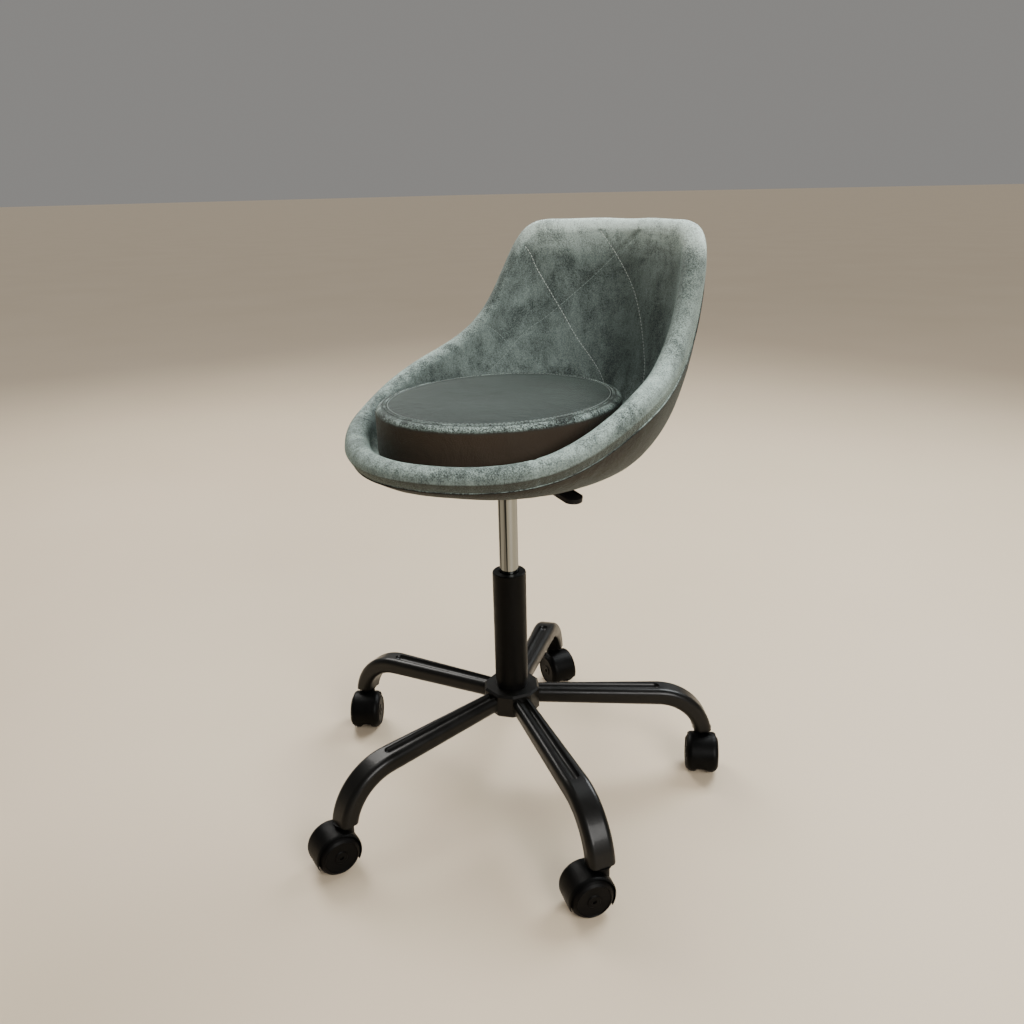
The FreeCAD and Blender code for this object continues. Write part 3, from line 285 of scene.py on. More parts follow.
def bright_steel():
    f = Finish("zinc_steel", Metallic=1.0, Roughness=0.3)
    turned_marks = f.noise(120.0, 4.0, 0.6, 0.0, f.stretched((0.5, 0.5, 12.0)))
    colour = f.mix(f.span(f.noise(60.0, 3.0), 0.3, 0.7), srgb(150, 152, 152), srgb(186, 184, 178))
    return f.finish(colour, f.span(turned_marks, 0.3, 0.7, 0.22, 0.4), f.bump(turned_marks, 0.1, 0.0003))


def moulded_plastic(name, low, high, rough_low, rough_high, grain_scale):
    f = Finish(name, Roughness=0.45, Specular_IOR_Level=0.08)
    grain = f.noise(grain_scale, 2.0, 0.55)
    dust = f.span(f.noise(28.0, 5.0, 0.7), 0.38, 0.78)
    colour = f.mix(dust, low, high)
    return f.finish(colour, f.span(f.noise(45.0, 3.0), 0.3, 0.7, rough_low, rough_high),
                    f.bump(grain, 0.25, 0.0005))


def rubber():
    f = Finish("black_rubber", Roughness=0.75)
    return f.finish(f.mix(f.noise(40.0, 4.0), srgb(18, 18, 18), srgb(34, 33, 32)), None,
                    f.bump(f.noise(400.0), 0.2, 0.0004))


def plywood():
    f = Finish("plywood", Roughness=0.6)
    grain = f.noise(18.0, 6.0, 0.65, 1.2, f.stretched((1.0, 9.0, 1.0)))
    return f.finish(f.mix(grain, srgb(170, 132, 88), srgb(206, 172, 124)), None, f.bump(grain, 0.1, 0.0005))


def thread(name, low, high):
    f = Finish(name, Roughness=0.6, Sheen_Weight=0.3, Sheen_Roughness=0.4)
    twist = f.noise(900.0, 2.0, 0.6, 0.0, f.stretched((1.0, 1.0, 1.6)))
    return f.finish(f.mix(twist, low, high), None, f.bump(twist, 0.4, 0.0003))


def floor_finish():
    f = Finish("pale_floor", Roughness=0.55)
    cloud = f.noise(1.3, 3.0, 0.5)
    return f.finish(f.mix(cloud, srgb(200, 182, 156), srgb(210, 193, 168)), None,
                    f.bump(f.noise(160.0, 3.0), 0.02, 0.0005))


SHEEN = srgb(200, 226, 217)
# painted highlight colours of the velvet's pile
PAINTED_PILE_HIGHLIGHT = srgb(190, 211, 203)
PAINTED_TOP_HIGHLIGHT_COLOUR = srgb(228, 247, 239)
# heights in metres, and slopes, over which a painted highlight brightens the pile at the top of the back
PAINTED_TOP_HIGHLIGHT_HEIGHTS = (0.785, 0.835)
PAINTED_TOP_HIGHLIGHT_SLOPES = (-0.2, 0.25)
# slopes over which a painted highlight turns the pile pale, and fades again
PAD_PAINTED_HIGHLIGHT_SLOPES = (0.30, 0.95, 1.2, 1.3)
CUSHION_PAINTED_HIGHLIGHT_SLOPES = (0.20, 0.55, 0.90, 0.99)
# in each velvet the third colour is a painted highlight, and the brown colour is painted shade
VELVET = velvet("velvet", srgb(46, 54, 52), srgb(124, 138, 133), PAINTED_PILE_HIGHLIGHT, PAD_PAINTED_HIGHLIGHT_SLOPES,
                srgb(38, 35, 29), (0.10, -0.25), 0.55)
# the outer cover's velvet, also used for the piping, is a much darker copy of the pad's velvet: painted shade
VELVET_COVER_PAINTED_SHADE = velvet("velvet_cover_painted_shade", srgb(10, 11, 9), srgb(31, 31, 27), PAINTED_PILE_HIGHLIGHT, PAD_PAINTED_HIGHLIGHT_SLOPES,
                      srgb(42, 37, 30), (0.20, -0.50), 0.12)
VELVET_CUSHION = velvet("velvet_cushion", srgb(14, 20, 18), srgb(33, 42, 39), srgb(172, 191, 184),
                        CUSHION_PAINTED_HIGHLIGHT_SLOPES, srgb(50, 39, 28), (0.45, 0.05), 0.18)
PALE_THREAD = thread("pale_thread", srgb(164, 176, 171), srgb(208, 214, 208))
DARK_THREAD = thread("dark_thread", srgb(96, 110, 106), srgb(142, 156, 151))
GLOSS_BLACK = coated_steel()
MATT_BLACK = matt_steel()
CHROME = chrome()
ZINC = bright_steel()
NYLON = moulded_plastic("black_nylon", srgb(3, 3, 3), srgb(8, 8, 7), 0.34, 0.5, 700.0)
WHEEL_NYLON = moulded_plastic("wheel_nylon", srgb(3, 3, 3), srgb(8, 7, 7), 0.4, 0.56, 520.0)
GRIP = moulded_plastic("paddle_nylon", srgb(14, 14, 14), srgb(26, 25, 24), 0.4, 0.55, 420.0)
RUBBER = rubber()
PLYWOOD = plywood()

CAD_FINISHES = {
    "hub": GLOSS_BLACK, "arm_": GLOSS_BLACK, "arm_foot_sockets": NYLON, "support_tube": MATT_BLACK,
    "guide_bushing": NYLON, "lower_race": ZINC, "upper_race": ZINC, "ball_ring": ZINC,
    "piston_rod": ZINC, "rod_washer": ZINC, "rubber_bumper": RUBBER, "piston": ZINC,
    "retaining_clip": ZINC, "gas_cylinder": CHROME, "rod_seal": RUBBER, "release_pin": ZINC,
    "seat_plate": MATT_BLACK, "taper_socket": MATT_BLACK, "lever_bracket": MATT_BLACK,
    "lever_pivot_pin": ZINC, "lever_rod": MATT_BLACK, "lever_paddle": GRIP, "plate_screws": ZINC,
    "tee_nuts": ZINC, "shell_board": PLYWOOD, "caster_stem_": ZINC, "caster_hood_": NYLON,
    "caster_axle_": NYLON, "wheel_left_": WHEEL_NYLON, "wheel_right_": WHEEL_NYLON,
    "outer_cover": VELVET_COVER_PAINTED_SHADE, "inner_pad": VELVET, "rim_roll": VELVET,
    "seat_cushion": VELVET_CUSHION,
}


def finish_for(node):
    if node in CAD_FINISHES:
        return CAD_FINISHES[node]
    return CAD_FINISHES[node.rstrip("0123456789")]


def dress_cad():
    for node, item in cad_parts.items():
        item.data.materials.clear()
        item.data.materials.append(finish_for(node))


# ---------------------------------------------------------------- bucket form, in millimetres

# The rim's stations, the same as in the CAD: x, y and the height of the rim's top, from the middle
# of the middle of the back.  Another program fitted them to the rim's outlines in the
# photograph, and some were then moved.
RIM = [
    (0, -233, 578), (117, -190, 578), (199, -101, 596), (220, 17, 638),
    (206, 107, 669), (188, 176, 718), (174, 219, 786), (152, 246, 835),
    (106, 266, 842), (56, 287, 842), (0, 296, 841),
]
UP = np.array((0.0, 0.0, 1.0))
SHELL_LOW = 526.0
BOTTOM_RADIUS = 144.0
BELLY_REACH = 0.93
BELLY_RISE = 0.025
ROLL = 17.0
SEAM_DROP = 16.0
COVER = 2.4
PAD_BACK = 13.2
INNER_FLOOR = 546.0
INNER_WALL = 24.0
COLUMNS = 560


def rim_stations():
    left = [np.array(p, float) for p in RIM]
    right = [p * np.array((-1, 1, 1)) for p in reversed(left[1:-1])]
    return np.array(left + right)


STATIONS = rim_stations()
COUNT = len(STATIONS)
REACH = np.hypot(STATIONS[:, 0], STATIONS[:, 1])
RADIAL = STATIONS * np.array((1, 1, 0)) / REACH[:, None]


def unit(rows):
    return rows / np.linalg.norm(rows, axis=-1, keepdims=True)


TANGENT = unit(np.roll(STATIONS, -1, 0) - np.roll(STATIONS, 1, 0))
OUTWARD = unit(RADIAL - TANGENT * (RADIAL * TANGENT).sum(1, keepdims=True))
CREST = unit(np.cross(OUTWARD, TANGENT))
CREST *= np.sign(CREST[:, 2:3])
CENTRE = STATIONS - RADIAL * ROLL - UP * ROLL
BUCKET_HOLLOW = np.array((0, 0, 700.0))


def bezier(start, belly, end, share):
    share = np.broadcast_to(np.asarray(share, float), (COUNT,))[:, None]
    return start * (1 - share) ** 2 + belly * (2 * share * (1 - share)) + end * share ** 2


def outer_row(depth, share):
    rise = (STATIONS[:, 2] - SHELL_LOW) * BELLY_RISE
    start = RADIAL * BOTTOM_RADIUS + UP * (SHELL_LOW + depth)
    belly = RADIAL * (REACH * BELLY_REACH - depth)[:, None] + UP * (SHELL_LOW + rise + depth)[:, None]
    return bezier(start, belly, CENTRE + OUTWARD * (ROLL - depth), share)


def inner_row(share):
    rise = (STATIONS[:, 2] - SHELL_LOW) * BELLY_RISE
    start = RADIAL * BOTTOM_RADIUS + UP * INNER_FLOOR
    belly = RADIAL * (REACH * BELLY_REACH - INNER_WALL)[:, None] + UP * (INNER_FLOOR + rise)[:, None]
    return bezier(start, belly, CENTRE - OUTWARD * ROLL, share)


def roll_row(degrees):
    turn = math.radians(degrees)
    return CENTRE + (OUTWARD * math.cos(turn) + CREST * math.sin(turn)) * ROLL


def seam_share(drop):
    rise = (STATIONS[:, 2] - SHELL_LOW) * BELLY_RISE
    belly = RADIAL * (REACH * BELLY_REACH)[:, None] + UP * (SHELL_LOW + rise)[:, None]
    run = np.linalg.norm(outer_row(0.0, 1.0) - belly, axis=1)
    return 1.0 - drop / (2 * run)


RING_MATRIX = np.zeros((COUNT, COUNT))
for index in range(COUNT):
    RING_MATRIX[index, index] = 4
    RING_MATRIX[index, (index + 1) % COUNT] = 1
    RING_MATRIX[index, index - 1] = 1


def ring_points(row, at):
    """The smooth closed curve through one row of stations, at parameters counted in stations."""
    bend = np.linalg.solve(RING_MATRIX, 6 * (np.roll(row, -1, 0) - 2 * row + np.roll(row, 1, 0)))
    low = np.floor(at).astype(int) % COUNT
    high = (low + 1) % COUNT
    f = (at - np.floor(at))[:, None]
    g = 1 - f
    return g * row[low] + f * row[high] + (g ** 3 - g) / 6 * bend[low] + (f ** 3 - f) / 6 * bend[high]


FINE = np.linspace(0, COUNT, 2001)
FINE_STEPS = np.linalg.norm(np.diff(ring_points(STATIONS, FINE), axis=0), axis=1)
RIM_RUN = np.concatenate(([0.0], np.cumsum(FINE_STEPS)))
RIM_LENGTH = RIM_RUN[-1]


def parameter_at(run):
    """The station parameter at a distance round the rim from the middle of the front."""
    return np.interp(np.mod(run, RIM_LENGTH), RIM_RUN, FINE)


COLUMN_RUN = np.linspace(0, RIM_LENGTH, COLUMNS, endpoint=False)
COLUMN_AT = parameter_at(COLUMN_RUN)


def surface(rows, at=COLUMN_AT):
    """Points [column][row] of a stack of station rows."""
    return np.stack([ring_points(row, at) for row in rows], axis=1)


def grid_normals(grid):
    along = np.roll(grid, -1, 0) - np.roll(grid, 1, 0)
    across = np.gradient(grid, axis=1)
    return unit(np.cross(along, across) + 1e-12)


# ---------------------------------------------------------------- mesh helpers

def mesh_object(name, points, faces, material):
    mesh = bpy.data.meshes.new(name)
    mesh.from_pydata([tuple(p) for p in np.asarray(points, float) * MM], [], faces)
    work = bmesh.new()
    work.from_mesh(mesh)
    bmesh.ops.recalc_face_normals(work, faces=work.faces)
    work.to_mesh(mesh)
    work.free()
    mesh.materials.append(material)
    mesh.polygons.foreach_set("use_smooth", [True] * len(mesh.polygons))
    mesh.update()
    item = bpy.data.objects.new(name, mesh)
    bpy.context.scene.collection.objects.link(item)
    return item


def closed_grid(grid):
    """Points and faces of a grid of columns that closes round, with a pole at each end."""
    columns, rows = grid.shape[:2]
    points = list(grid.reshape(-1, 3))
    faces = []
    for i in range(columns):
        j = (i + 1) % columns
        for r in range(rows - 1):
            faces.append((i * rows + r, j * rows + r, j * rows + r + 1, i * rows + r + 1))
    first = len(points)
    points.append(grid[:, 0].mean(0))
    points.append(grid[:, -1].mean(0))
    for i in range(columns):
        j = (i + 1) % columns
        faces.append((j * rows, i * rows, first))
        faces.append((i * rows + rows - 1, j * rows + rows - 1, first + 1))
    return points, faces


def tube_along(path, radius, sides=10, closed=True, normals=None):
    """Points and faces of a tube that follows a path."""
    path = np.asarray(path, float)
    count = len(path)
    if closed:
        run = unit(np.roll(path, -1, 0) - np.roll(path, 1, 0))
    else:
        run = unit(np.gradient(path, axis=0))
    reference = np.tile(UP, (count, 1)) if normals is None else normals
    side = unit(np.cross(run, reference))
    lift = unit(np.cross(side, run))
    points, faces = [], []
    for k in range(sides):
        turn = 2 * math.pi * k / sides
        points.append(path + (side * math.cos(turn) + lift * math.sin(turn)) * radius)
    points = np.stack(points, axis=1).reshape(-1, 3)
    steps = count if closed else count - 1
    for i in range(steps):
        j = (i + 1) % count
        for k in range(sides):
            m = (k + 1) % sides
            faces.append((i * sides + k, j * sides + k, j * sides + m, i * sides + m))
    if not closed:
        faces.append(tuple(range(sides)))
        faces.append(tuple((count - 1) * sides + k for k in reversed(range(sides))))
    return points, faces


STITCH_LENGTH = 4.0
STITCH_SIDES = 6
STITCH_PROUD = 0.25
# height of a stitch above its cloth along its length, in thread radii
HUMP = np.array((-1.2, 0.0, 0.7, 1.0, 0.7, 0.0, -1.2))


def stitches(name, path, normals, gap, radius, lift, material):
    """One mesh of separate thread stitches laid along a path, each humped a little."""
    path = np.asarray(path, float)
    steps = np.linalg.norm(np.diff(path, axis=0), axis=1)
    run = np.concatenate(([0.0], np.cumsum(steps)))
    pitch = STITCH_LENGTH + gap
    points, faces = [], []
    for n in range(int(run[-1] // pitch)):
        at = n * pitch + gap / 2 + np.linspace(0, 1, len(HUMP)) * STITCH_LENGTH
        line = np.stack([np.interp(at, run, path[:, k]) for k in range(3)], axis=1)
        away = unit(np.stack([np.interp(at, run, normals[:, k]) for k in range(3)], axis=1))
        line = line + away * (HUMP * radius + lift)[:, None]
        stitch_points, stitch_faces = tube_along(line, radius, STITCH_SIDES, False, away)
        base = len(points)
        points.extend(stitch_points)
        faces.extend(tuple(v + base for v in face) for face in stitch_faces)
    return mesh_object(name, points, faces, material)


def smooth_path(knots, step):
    """A Catmull-Rom path through knots, with points about a step apart."""
    knots = np.asarray(knots, float)
    padded = np.vstack([2 * knots[0] - knots[1], knots, 2 * knots[-1] - knots[-2]])
    points = []
    for a, b, c, d in zip(padded, padded[1:], padded[2:], padded[3:]):
        n = max(2, int(np.linalg.norm(c - b) / step))
        for t in np.linspace(0, 1, n, endpoint=False):
            points.append(0.5 * (2 * b + (c - a) * t + (2 * a - 5 * b + 4 * c - d) * t * t
                                 + (3 * b - a - 3 * c + d) * t ** 3))
    points.append(knots[-1])
    return np.array(points)


def ripple(points, scale, seed):
    offset = Vector((seed * 3.7, seed * 1.3, seed * 2.1))
    return np.array([noise.noise(Vector(p) * (1.0 / scale) + offset) for p in points])


# ---------------------------------------------------------------- quilting on the bucket's inside

# Each sewn line: distance round the rim from the middle of the back, towards the sitter's right,
# and height above the floor.  The points were picked in the photograph and carried onto this
# surface by another program, and some were then moved.
PALE_LINES = {
    "long": [
        (190, 803), (178, 798), (166, 786), (155, 768), (108, 708), (64, 657), (-5, 605), (-34, 578),
    ],
    "middle": [(48, 832), (31, 816), (-4, 781), (-46, 736), (-91, 673), (-121, 630), (-140, 588)],
}
DARK_LINES = {
    "cross": [(-62, 832), (-2, 796), (73, 738), (147, 687), (241, 648), (335, 612)],
    "side": [(345, 690), (273, 660), (222, 625), (190, 590)],
}
INNER_SHARES = np.linspace(1.0, 0.0, 118)


def inner_columns(at):
    return surface([inner_row(s) for s in INNER_SHARES], at)


def sewn_path(knots):
    """Points on the bucket's inside for a sewn line."""
    flat = smooth_path(knots, 2.0)
    columns = inner_columns(parameter_at(flat[:, 0] + RIM_LENGTH / 2))
    path = []
    for column, (_, height) in zip(columns, flat):
        heights = column[::-1, 2]
        if height > heights[-1]:
            continue
        path.append([np.interp(height, heights, column[::-1, k]) for k in range(3)])
    return np.array(path)


SEWN = {name: sewn_path(knots) for name, knots in {**PALE_LINES, **DARK_LINES}.items()}
GROOVE_DEPTH = 0.8
GROOVE_WIDTH = 2.2
PUFF = 0.4
PUFF_WIDTH = 26.0
PUFF_FADE = 120.0
CALM_WIDTH = 10.0
# where the roll's velvet is joined: distance round the rim from the middle of the front
FRONT_JOIN = 212.0
JOIN_DEPTH = 1.1
JOIN_WIDTH = 2.8
BACK_ROWS = 26
FOLD_IN_ROWS = 5
FOLD_OUT_ROWS = 9
ROLL_STEP = 6.0
FLOOR_SHARES = (0.85, 0.65, 0.4, 0.15)
FLAT_ROWS = 6
# unevenness of the padding: height and wavelength of its broad and small swells, and how much of
# it there is, and how far it stands out, between the seam and the roll
BROAD_SWELL = 0.9
BROAD_LENGTH = 62.0
SMALL_SWELL = 0.2
SMALL_LENGTH = 17.0
EDGE_SHARE = 0.35
EDGE_OFFSET = 0.6
SEAM_PULL = 0.3
SEAM_PULL_ROWS = 9.0
GATHER_HEIGHT = 0.2
GATHER_SPACING = 11.3
GATHER_DRIFT = 71.0
GATHER_ROWS = 6.0


def sewn_tree():
    points = np.vstack(list(SEWN.values()))
    tree = kdtree.KDTree(len(points))
    for index, point in enumerate(points):
        tree.insert(Vector(point), index)
    tree.balance()
    return tree


def quilt_lift(distance):
    groove = np.exp(-(distance / GROOVE_WIDTH) ** 2)
    puff = 1.0 - np.exp(-(distance / PUFF_WIDTH) ** 2)
    return PUFF * puff * np.exp(-(distance / PUFF_FADE) ** 2) - GROOVE_DEPTH * groove


def smoothstep(x):
    x = np.clip(x, 0, 1)
    return x * x * (3 - 2 * x)


def make_upholstery():
    seam = seam_share(SEAM_DROP)
    back = [outer_row(PAD_BACK, s) for s in np.linspace(0, 1, BACK_ROWS)]
    fold_in = [outer_row(COVER, seam + (1 - seam) * s) for s in np.linspace(1, 0, FOLD_IN_ROWS)]
    fold_out = [outer_row(0.0, seam + (1 - seam) * s) for s in np.linspace(0, 1, FOLD_OUT_ROWS)]
    roll = [roll_row(a) for a in np.arange(ROLL_STEP, 180.0, ROLL_STEP)]
    inside = [inner_row(s) for s in INNER_SHARES]
    floor = [inner_row(0.0) * np.array((f, f, 1)) for f in FLOOR_SHARES]
    grid = surface(back + fold_in + fold_out + roll + inside + floor)
    normals = grid_normals(grid)
    seen = len(back) + len(fold_in)
    crest_row = seen + len(fold_out) + len(roll) // 2
    if normals[:, crest_row, 2].mean() < 0:
        normals = -normals
    first_inside = seen + len(fold_out) + len(roll)
    part = grid[:, seen:].reshape(-1, 3)
    tree = sewn_tree()
    distance = np.array([tree.find(Vector(p))[2] for p in part]).reshape(COLUMNS, -1)
    lift = np.zeros(grid.shape[:2])
    inside_rows = np.arange(seen, grid.shape[1]) >= first_inside
    lift[:, seen:] = np.where(inside_rows[None, :], quilt_lift(distance), 0.0)
    broad = ripple(part, BROAD_LENGTH, 1).reshape(COLUMNS, -1)
    small = ripple(part, SMALL_LENGTH, 2).reshape(COLUMNS, -1)
    calm = 1.0 - np.exp(-(distance / CALM_WIDTH) ** 2)
    uneven = (BROAD_SWELL * broad + SMALL_SWELL * small) * calm
    outside_rows = (np.arange(seen, grid.shape[1]) < seen + len(fold_out))[None, :]
    lift[:, seen:] += np.where(outside_rows, EDGE_SHARE * (uneven + EDGE_OFFSET), uneven)
    # the pad is drawn in where it is sewn to the outer cover
    row_index = np.arange(grid.shape[1])
    from_seam = np.clip((row_index - seen) / SEAM_PULL_ROWS, 0, 1)
    lift[:, seen:] -= (SEAM_PULL * (1 - smoothstep(from_seam[seen:])))[None, :]
    # small gathers run from that seam up over the roll
    gathers = np.sin(COLUMN_RUN * 2 * math.pi / GATHER_SPACING + 3 * np.sin(COLUMN_RUN / GATHER_DRIFT))
    reach = np.exp(-((row_index - seen) / GATHER_ROWS) ** 2) * (row_index >= seen)
    lift += GATHER_HEIGHT * gathers[:, None] * reach[None, :]
    # a join in the velvet crosses the roll at the front
    join = np.exp(-((COLUMN_RUN - FRONT_JOIN) / JOIN_WIDTH) ** 2)
    on_roll = (row_index >= seen) & (row_index < first_inside)
    lift -= JOIN_DEPTH * join[:, None] * on_roll[None, :]
    # the floor, under the cushion, stays flat
    lift[:, -len(floor) - FLAT_ROWS:] *= 0.0
    grid = grid + normals * lift[:, :, None]
    points, faces = closed_grid(grid)
    item = mesh_object("bucket_pad", points, faces, VELVET)
    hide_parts("inner_pad", "rim_roll")
    return item


COVER_ROWS = 40
COVER_CREASE = 4
COVER_FLATS = (0.2, 0.6, 0.9)
COVER_TUCK = 0.6
COVER_TUCK_ROWS = 3.0
LAYER_GAP = 0.2
COVER_SHORT = 0.3
# unevenness of the cover: how far it stands out, and height and wavelength of its two swells
COVER_STAND = 0.6
COVER_BROAD_SWELL = 0.9
COVER_BROAD_LENGTH = 70.0
COVER_SMALL_SWELL = 0.25
COVER_SMALL_LENGTH = 15.0


def make_cover():
    seam = seam_share(SEAM_DROP + COVER_SHORT)
    shares = np.linspace(0, 1, COVER_ROWS)
    outside = [outer_row(0.0, seam * s) for s in shares]
    inside = [outer_row(COVER - LAYER_GAP, seam * s) for s in shares[::-1]]
    flat = [outer_row(0.0, 0.0) * np.array((f, f, 1)) for f in COVER_FLATS]
    flat_inside = [outer_row(COVER - LAYER_GAP, 0.0) * np.array((f, f, 1)) for f in COVER_FLATS[::-1]]
    grid = surface(flat + outside + inside + flat_inside)
    normals = grid_normals(grid)
    middle = len(flat) + COVER_ROWS // 2
    from_inside = grid[:, middle] - BUCKET_HOLLOW
    if (normals[:, middle] * from_inside).sum(1).mean() < 0:
        normals = -normals
    lift = np.zeros(grid.shape[:2])
    span = slice(len(flat) + COVER_CREASE, len(flat) + COVER_ROWS)
    part = grid[:, span].reshape(-1, 3)
    broad = ripple(part, COVER_BROAD_LENGTH, 4)
    small = ripple(part, COVER_SMALL_LENGTH, 5)
    swell = COVER_STAND + COVER_BROAD_SWELL * broad + COVER_SMALL_SWELL * small
    lift[:, span] = swell.reshape(COLUMNS, -1)
    # the cover is tucked in at the seam
    last = len(flat) + COVER_ROWS - 1
    row_index = np.arange(grid.shape[1])
    near = np.exp(-((row_index - last) / COVER_TUCK_ROWS) ** 2)
    lift -= COVER_TUCK * near[None, :] * (row_index <= last)[None, :]
    grid = grid + normals * lift[:, :, None]
    points, faces = closed_grid(grid)
    item = mesh_object("back_cover", points, faces, VELVET_COVER_PAINTED_SHADE)
    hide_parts("outer_cover")
    return item


PIPING_RADIUS = 1.5
PIPING_SIDES = 12
PIPING_PROUD = 0.3


def make_piping():
    path = ring_points(outer_row(-PIPING_PROUD, seam_share(SEAM_DROP + COVER_SHORT / 2)), COLUMN_AT)
    points, faces = tube_along(path, PIPING_RADIUS, PIPING_SIDES)
    return mesh_object("rim_piping", points, faces, VELVET_COVER_PAINTED_SHADE)


BACK_WALL_ROW = 30
WALL_STITCH_GAP = 1.5
WALL_THREAD = 0.48


def inside_normals():
    """A function for the direction out of the bucket's inside wall, towards its hollow."""
    grid = inner_columns(COLUMN_AT)
    field = grid_normals(grid)
    if field[COLUMNS // 2, BACK_WALL_ROW] @ np.array((0, -1.0, 0)) < 0:
        field = -field
    flat_field = field.reshape(-1, 3)
    tree = kdtree.KDTree(len(flat_field))
    for index, point in enumerate(grid.reshape(-1, 3)):
        tree.insert(Vector(point), index)
    tree.balance()

    def normal_at(point):
        return flat_field[tree.find(Vector(point))[1]]
    return normal_at


def make_stitching():
    normal_at = inside_normals()
    made = []
    for group, material in ((PALE_LINES, PALE_THREAD), (DARK_LINES, DARK_THREAD)):
        for name in group:
            path = SEWN[name]
            normals = np.array([normal_at(p) for p in path])
            made.append(stitches(f"stitch_{name}", path, normals, WALL_STITCH_GAP, WALL_THREAD,
                                 STITCH_PROUD - GROOVE_DEPTH, material))
    return made


# ---------------------------------------------------------------- loose cushion

CUSHION_X = 160.0
CUSHION_Y = 182.0
CUSHION_MIDDLE = -8.0
CUSHION_BASE = 551.2
CUSHION_TOP = 620.0
SHOULDER = 10.0
CUSHION_COLUMNS = 168
CUSHION_MARGIN = 2.0
FACE_ROWS = 24
MIDDLE_INSET = 150
HELD_INSET = 30
BASE_INSET = 12
BASE_ROUND = 9
SIDE_LOW = 15
SIDE_HIGH = 4
SIDE_ROWS = 6
WELT_INSET = 2.2
WELT_SINK = 1.6
TOP_INSET = 6


def cushion_profile():
    """(inset from the oval's edge, height, held) from the middle of the base round to the top."""
    rows = []
    for inset in np.linspace(MIDDLE_INSET, BASE_INSET, FACE_ROWS):
        rows.append((inset, CUSHION_BASE, 1.0 if inset > HELD_INSET else 0.0))
    for turn in np.linspace(0, 90, 4):
        t = math.radians(turn)
        rows.append((BASE_ROUND - BASE_ROUND * math.sin(t),
                     CUSHION_BASE + BASE_ROUND - BASE_ROUND * math.cos(t), 0.0))
    for height in np.linspace(CUSHION_BASE + SIDE_LOW, CUSHION_TOP - SHOULDER - SIDE_HIGH, SIDE_ROWS):
        rows.append((0.0, height, 0.0))
    for turn in np.linspace(0, 90, 7):
        t = math.radians(turn)
        rows.append((SHOULDER - SHOULDER * math.cos(t), CUSHION_TOP - SHOULDER + SHOULDER * math.sin(t), 0.0))
    seam_row = len(rows)
    rows.append((SHOULDER + WELT_INSET, CUSHION_TOP - WELT_SINK, 1.0))
    for inset in np.linspace(SHOULDER + TOP_INSET, MIDDLE_INSET, FACE_ROWS):
        rows.append((inset, CUSHION_TOP, 0.0))
    return rows, seam_row


def oval_ring(inset, height):
    turn = np.linspace(0, 2 * math.pi, CUSHION_COLUMNS, endpoint=False)
    x = (CUSHION_X - CUSHION_MARGIN - inset) * np.cos(turn)
    y = (CUSHION_Y - CUSHION_MARGIN - inset) * np.sin(turn) + CUSHION_MIDDLE
    return np.stack([x, y, np.full(CUSHION_COLUMNS, height)], axis=1)


CLOTH = {
    "quality": 6, "mass": 0.25, "tension_stiffness": 18, "compression_stiffness": 18,
    "shear_stiffness": 6, "bending_stiffness": 0.6, "vertex_group_mass": "held",
    "use_pressure_volume": False, "use_pressure": True, "uniform_pressure_force": 4.0,
}
CLOTH_FRAMES = 20
MOST_PUFF = 7.0


def inflate(item, held):
    """Cloth under pressure, with some points held; the result is applied to the mesh."""
    rest = np.array([v.co for v in item.data.vertices])
    group = item.vertex_groups.new(name="held")
    for index, weight in enumerate(held):
        if weight > 0:
            group.add([index], float(weight), "REPLACE")
    cloth = item.modifiers.new("cloth", "CLOTH")
    for key, value in CLOTH.items():
        setattr(cloth.settings, key, value)
    cloth.settings.effector_weights.gravity = 0.0
    cloth.point_cache.frame_start = 1
    cloth.point_cache.frame_end = CLOTH_FRAMES
    scene = bpy.context.scene
    for step in range(1, CLOTH_FRAMES + 1):
        scene.frame_set(step)
    evaluated = item.evaluated_get(bpy.context.evaluated_depsgraph_get())
    moved = np.array([v.co for v in evaluated.data.vertices]) - rest
    size = np.linalg.norm(moved, axis=1, keepdims=True)
    moved *= np.minimum(1.0, MOST_PUFF * MM / np.maximum(size, 1e-9))
    item.modifiers.remove(cloth)
    item.vertex_groups.clear()
    scene.frame_set(1)
    item.data.vertices.foreach_set("co", (rest + moved).astype(np.float32).ravel())
    item.data.update()


def subdivide(item):
    modifier = item.modifiers.new("smooth", "SUBSURF")
    modifier.levels = 1
    modifier.render_levels = 1
    evaluated = item.evaluated_get(bpy.context.evaluated_depsgraph_get())
    mesh = bpy.data.meshes.new_from_object(evaluated)
    item.modifiers.remove(modifier)
    item.data = mesh


PUCKER_HEIGHT = 0.25
PUCKER_ROWS = 2.2
PUCKER_COLUMNS = 3.1
CROWN_SWELL = 0.8
CROWN_LENGTH = 70.0
LOWEST_SAG = 3.0
WELT_RADIUS = 1.5
WELT_SIDES = 10
WELT_RISE = 0.5
THREAD_INSET = 0.028
THREAD_RISE = 1.2
CUSHION_STITCH_GAP = 1.6
CUSHION_THREAD = 0.45


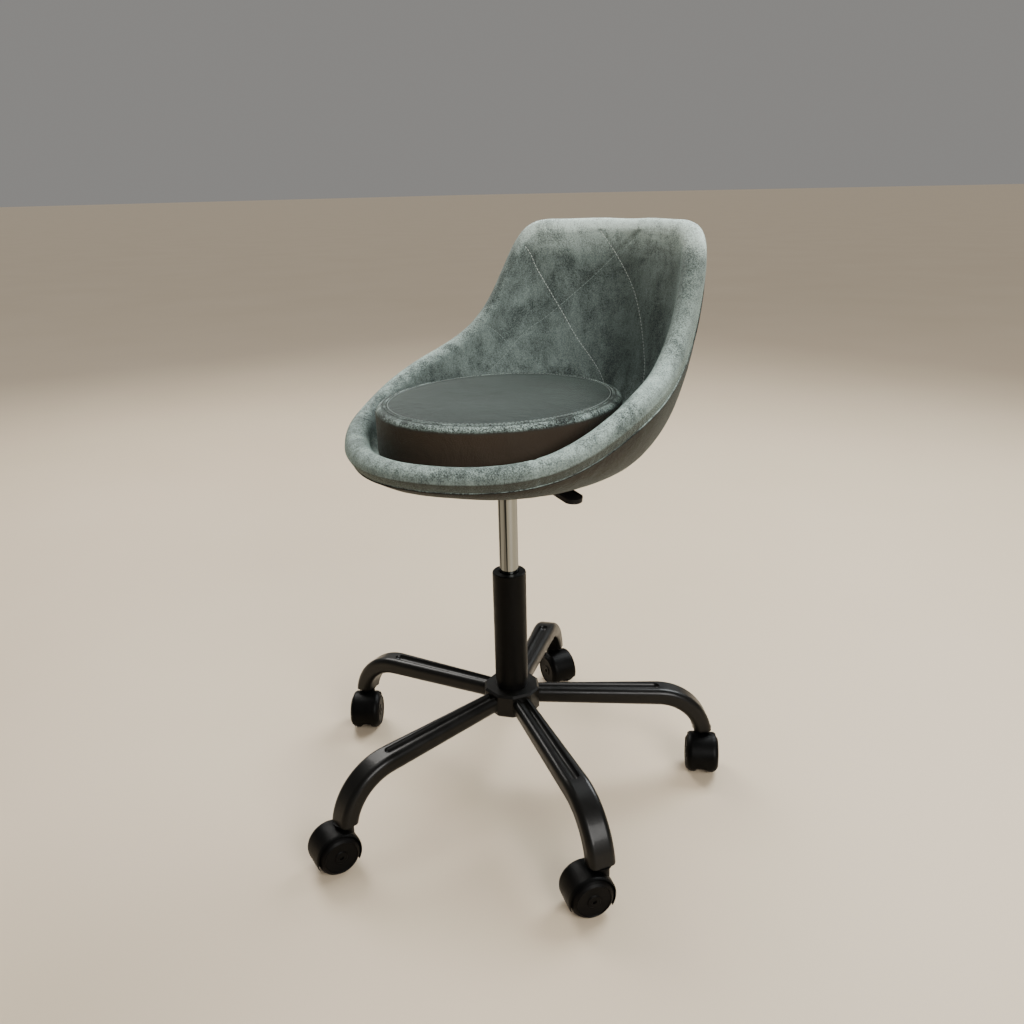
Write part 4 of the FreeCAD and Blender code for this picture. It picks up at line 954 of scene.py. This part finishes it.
def make_cushion():
    profile, seam_row = cushion_profile()
    grid = np.stack([oval_ring(inset, height) for inset, height, _ in profile], axis=1)
    points, faces = closed_grid(grid)
    item = mesh_object("round_cushion", points, faces, VELVET_CUSHION)
    # the pole of the base is held, the pole of the top is free
    held = np.concatenate([np.tile([p[2] for p in profile], CUSHION_COLUMNS), [1.0, 0.0]])
    inflate(item, held)
    rows = len(profile)
    seam = np.array([item.data.vertices[c * rows + seam_row].co for c in range(CUSHION_COLUMNS)]) / MM
    work = np.array([v.co for v in item.data.vertices]) / MM
    # puckers beside the seam, and a broad unevenness of the filling
    column = np.minimum(np.arange(len(work)) // rows, CUSHION_COLUMNS - 1)
    row = np.arange(len(work)) % rows
    near = np.exp(-((row - seam_row) / PUCKER_ROWS) ** 2)
    wave = np.sin(column * 2 * math.pi / PUCKER_COLUMNS + 2 * np.sin(column / 6.0))
    work[:, 2] += PUCKER_HEIGHT * near * wave
    crown = np.where(row > seam_row, 1.0, 0.0)
    work[:, 2] += crown * CROWN_SWELL * ripple(work, CROWN_LENGTH, 8)
    work[:, 2] = np.maximum(work[:, 2], CUSHION_BASE - LOWEST_SAG)
    item.data.vertices.foreach_set("co", (work * MM).astype(np.float32).ravel())
    subdivide(item)
    item.data.polygons.foreach_set("use_smooth", [True] * len(item.data.polygons))
    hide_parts("seat_cushion")
    points, faces = tube_along(seam + UP * WELT_RISE, WELT_RADIUS, WELT_SIDES)
    welt = mesh_object("cushion_welt", points, faces, VELVET_CUSHION)
    inner = seam + (np.array((0, CUSHION_MIDDLE, CUSHION_TOP)) - seam) * THREAD_INSET
    closed_line = np.vstack([inner, inner[:1]])
    closed_line[:, 2] = seam[:, 2].mean() + THREAD_RISE
    ups = np.tile(UP, (len(closed_line), 1))
    line = stitches("cushion_stitches", closed_line, ups, CUSHION_STITCH_GAP, CUSHION_THREAD,
                    STITCH_PROUD, DARK_THREAD)
    return [item, welt, line]


# ---------------------------------------------------------------- put together

make_camera()
make_lights()
dress_cad()

pad = make_upholstery()
cover = make_cover()
piping = make_piping()
threads = make_stitching()
cushion, welt, cushion_line = make_cushion()

for piece, slot in ((pad, "velvet"), (cover, "velvet_outer"), (piping, "velvet_outer"), (cushion, "velvet"),
                    (welt, "velvet"), (cushion_line, "velvet")):
    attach(piece, SEAT)
for piece in threads:
    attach(piece, SEAT)

bpy.ops.mesh.primitive_plane_add(size=FLOOR_SIZE, location=(0, 0, 0))
floor = bpy.context.object
floor.name = "floor"
floor.data.materials.append(floor_finish())
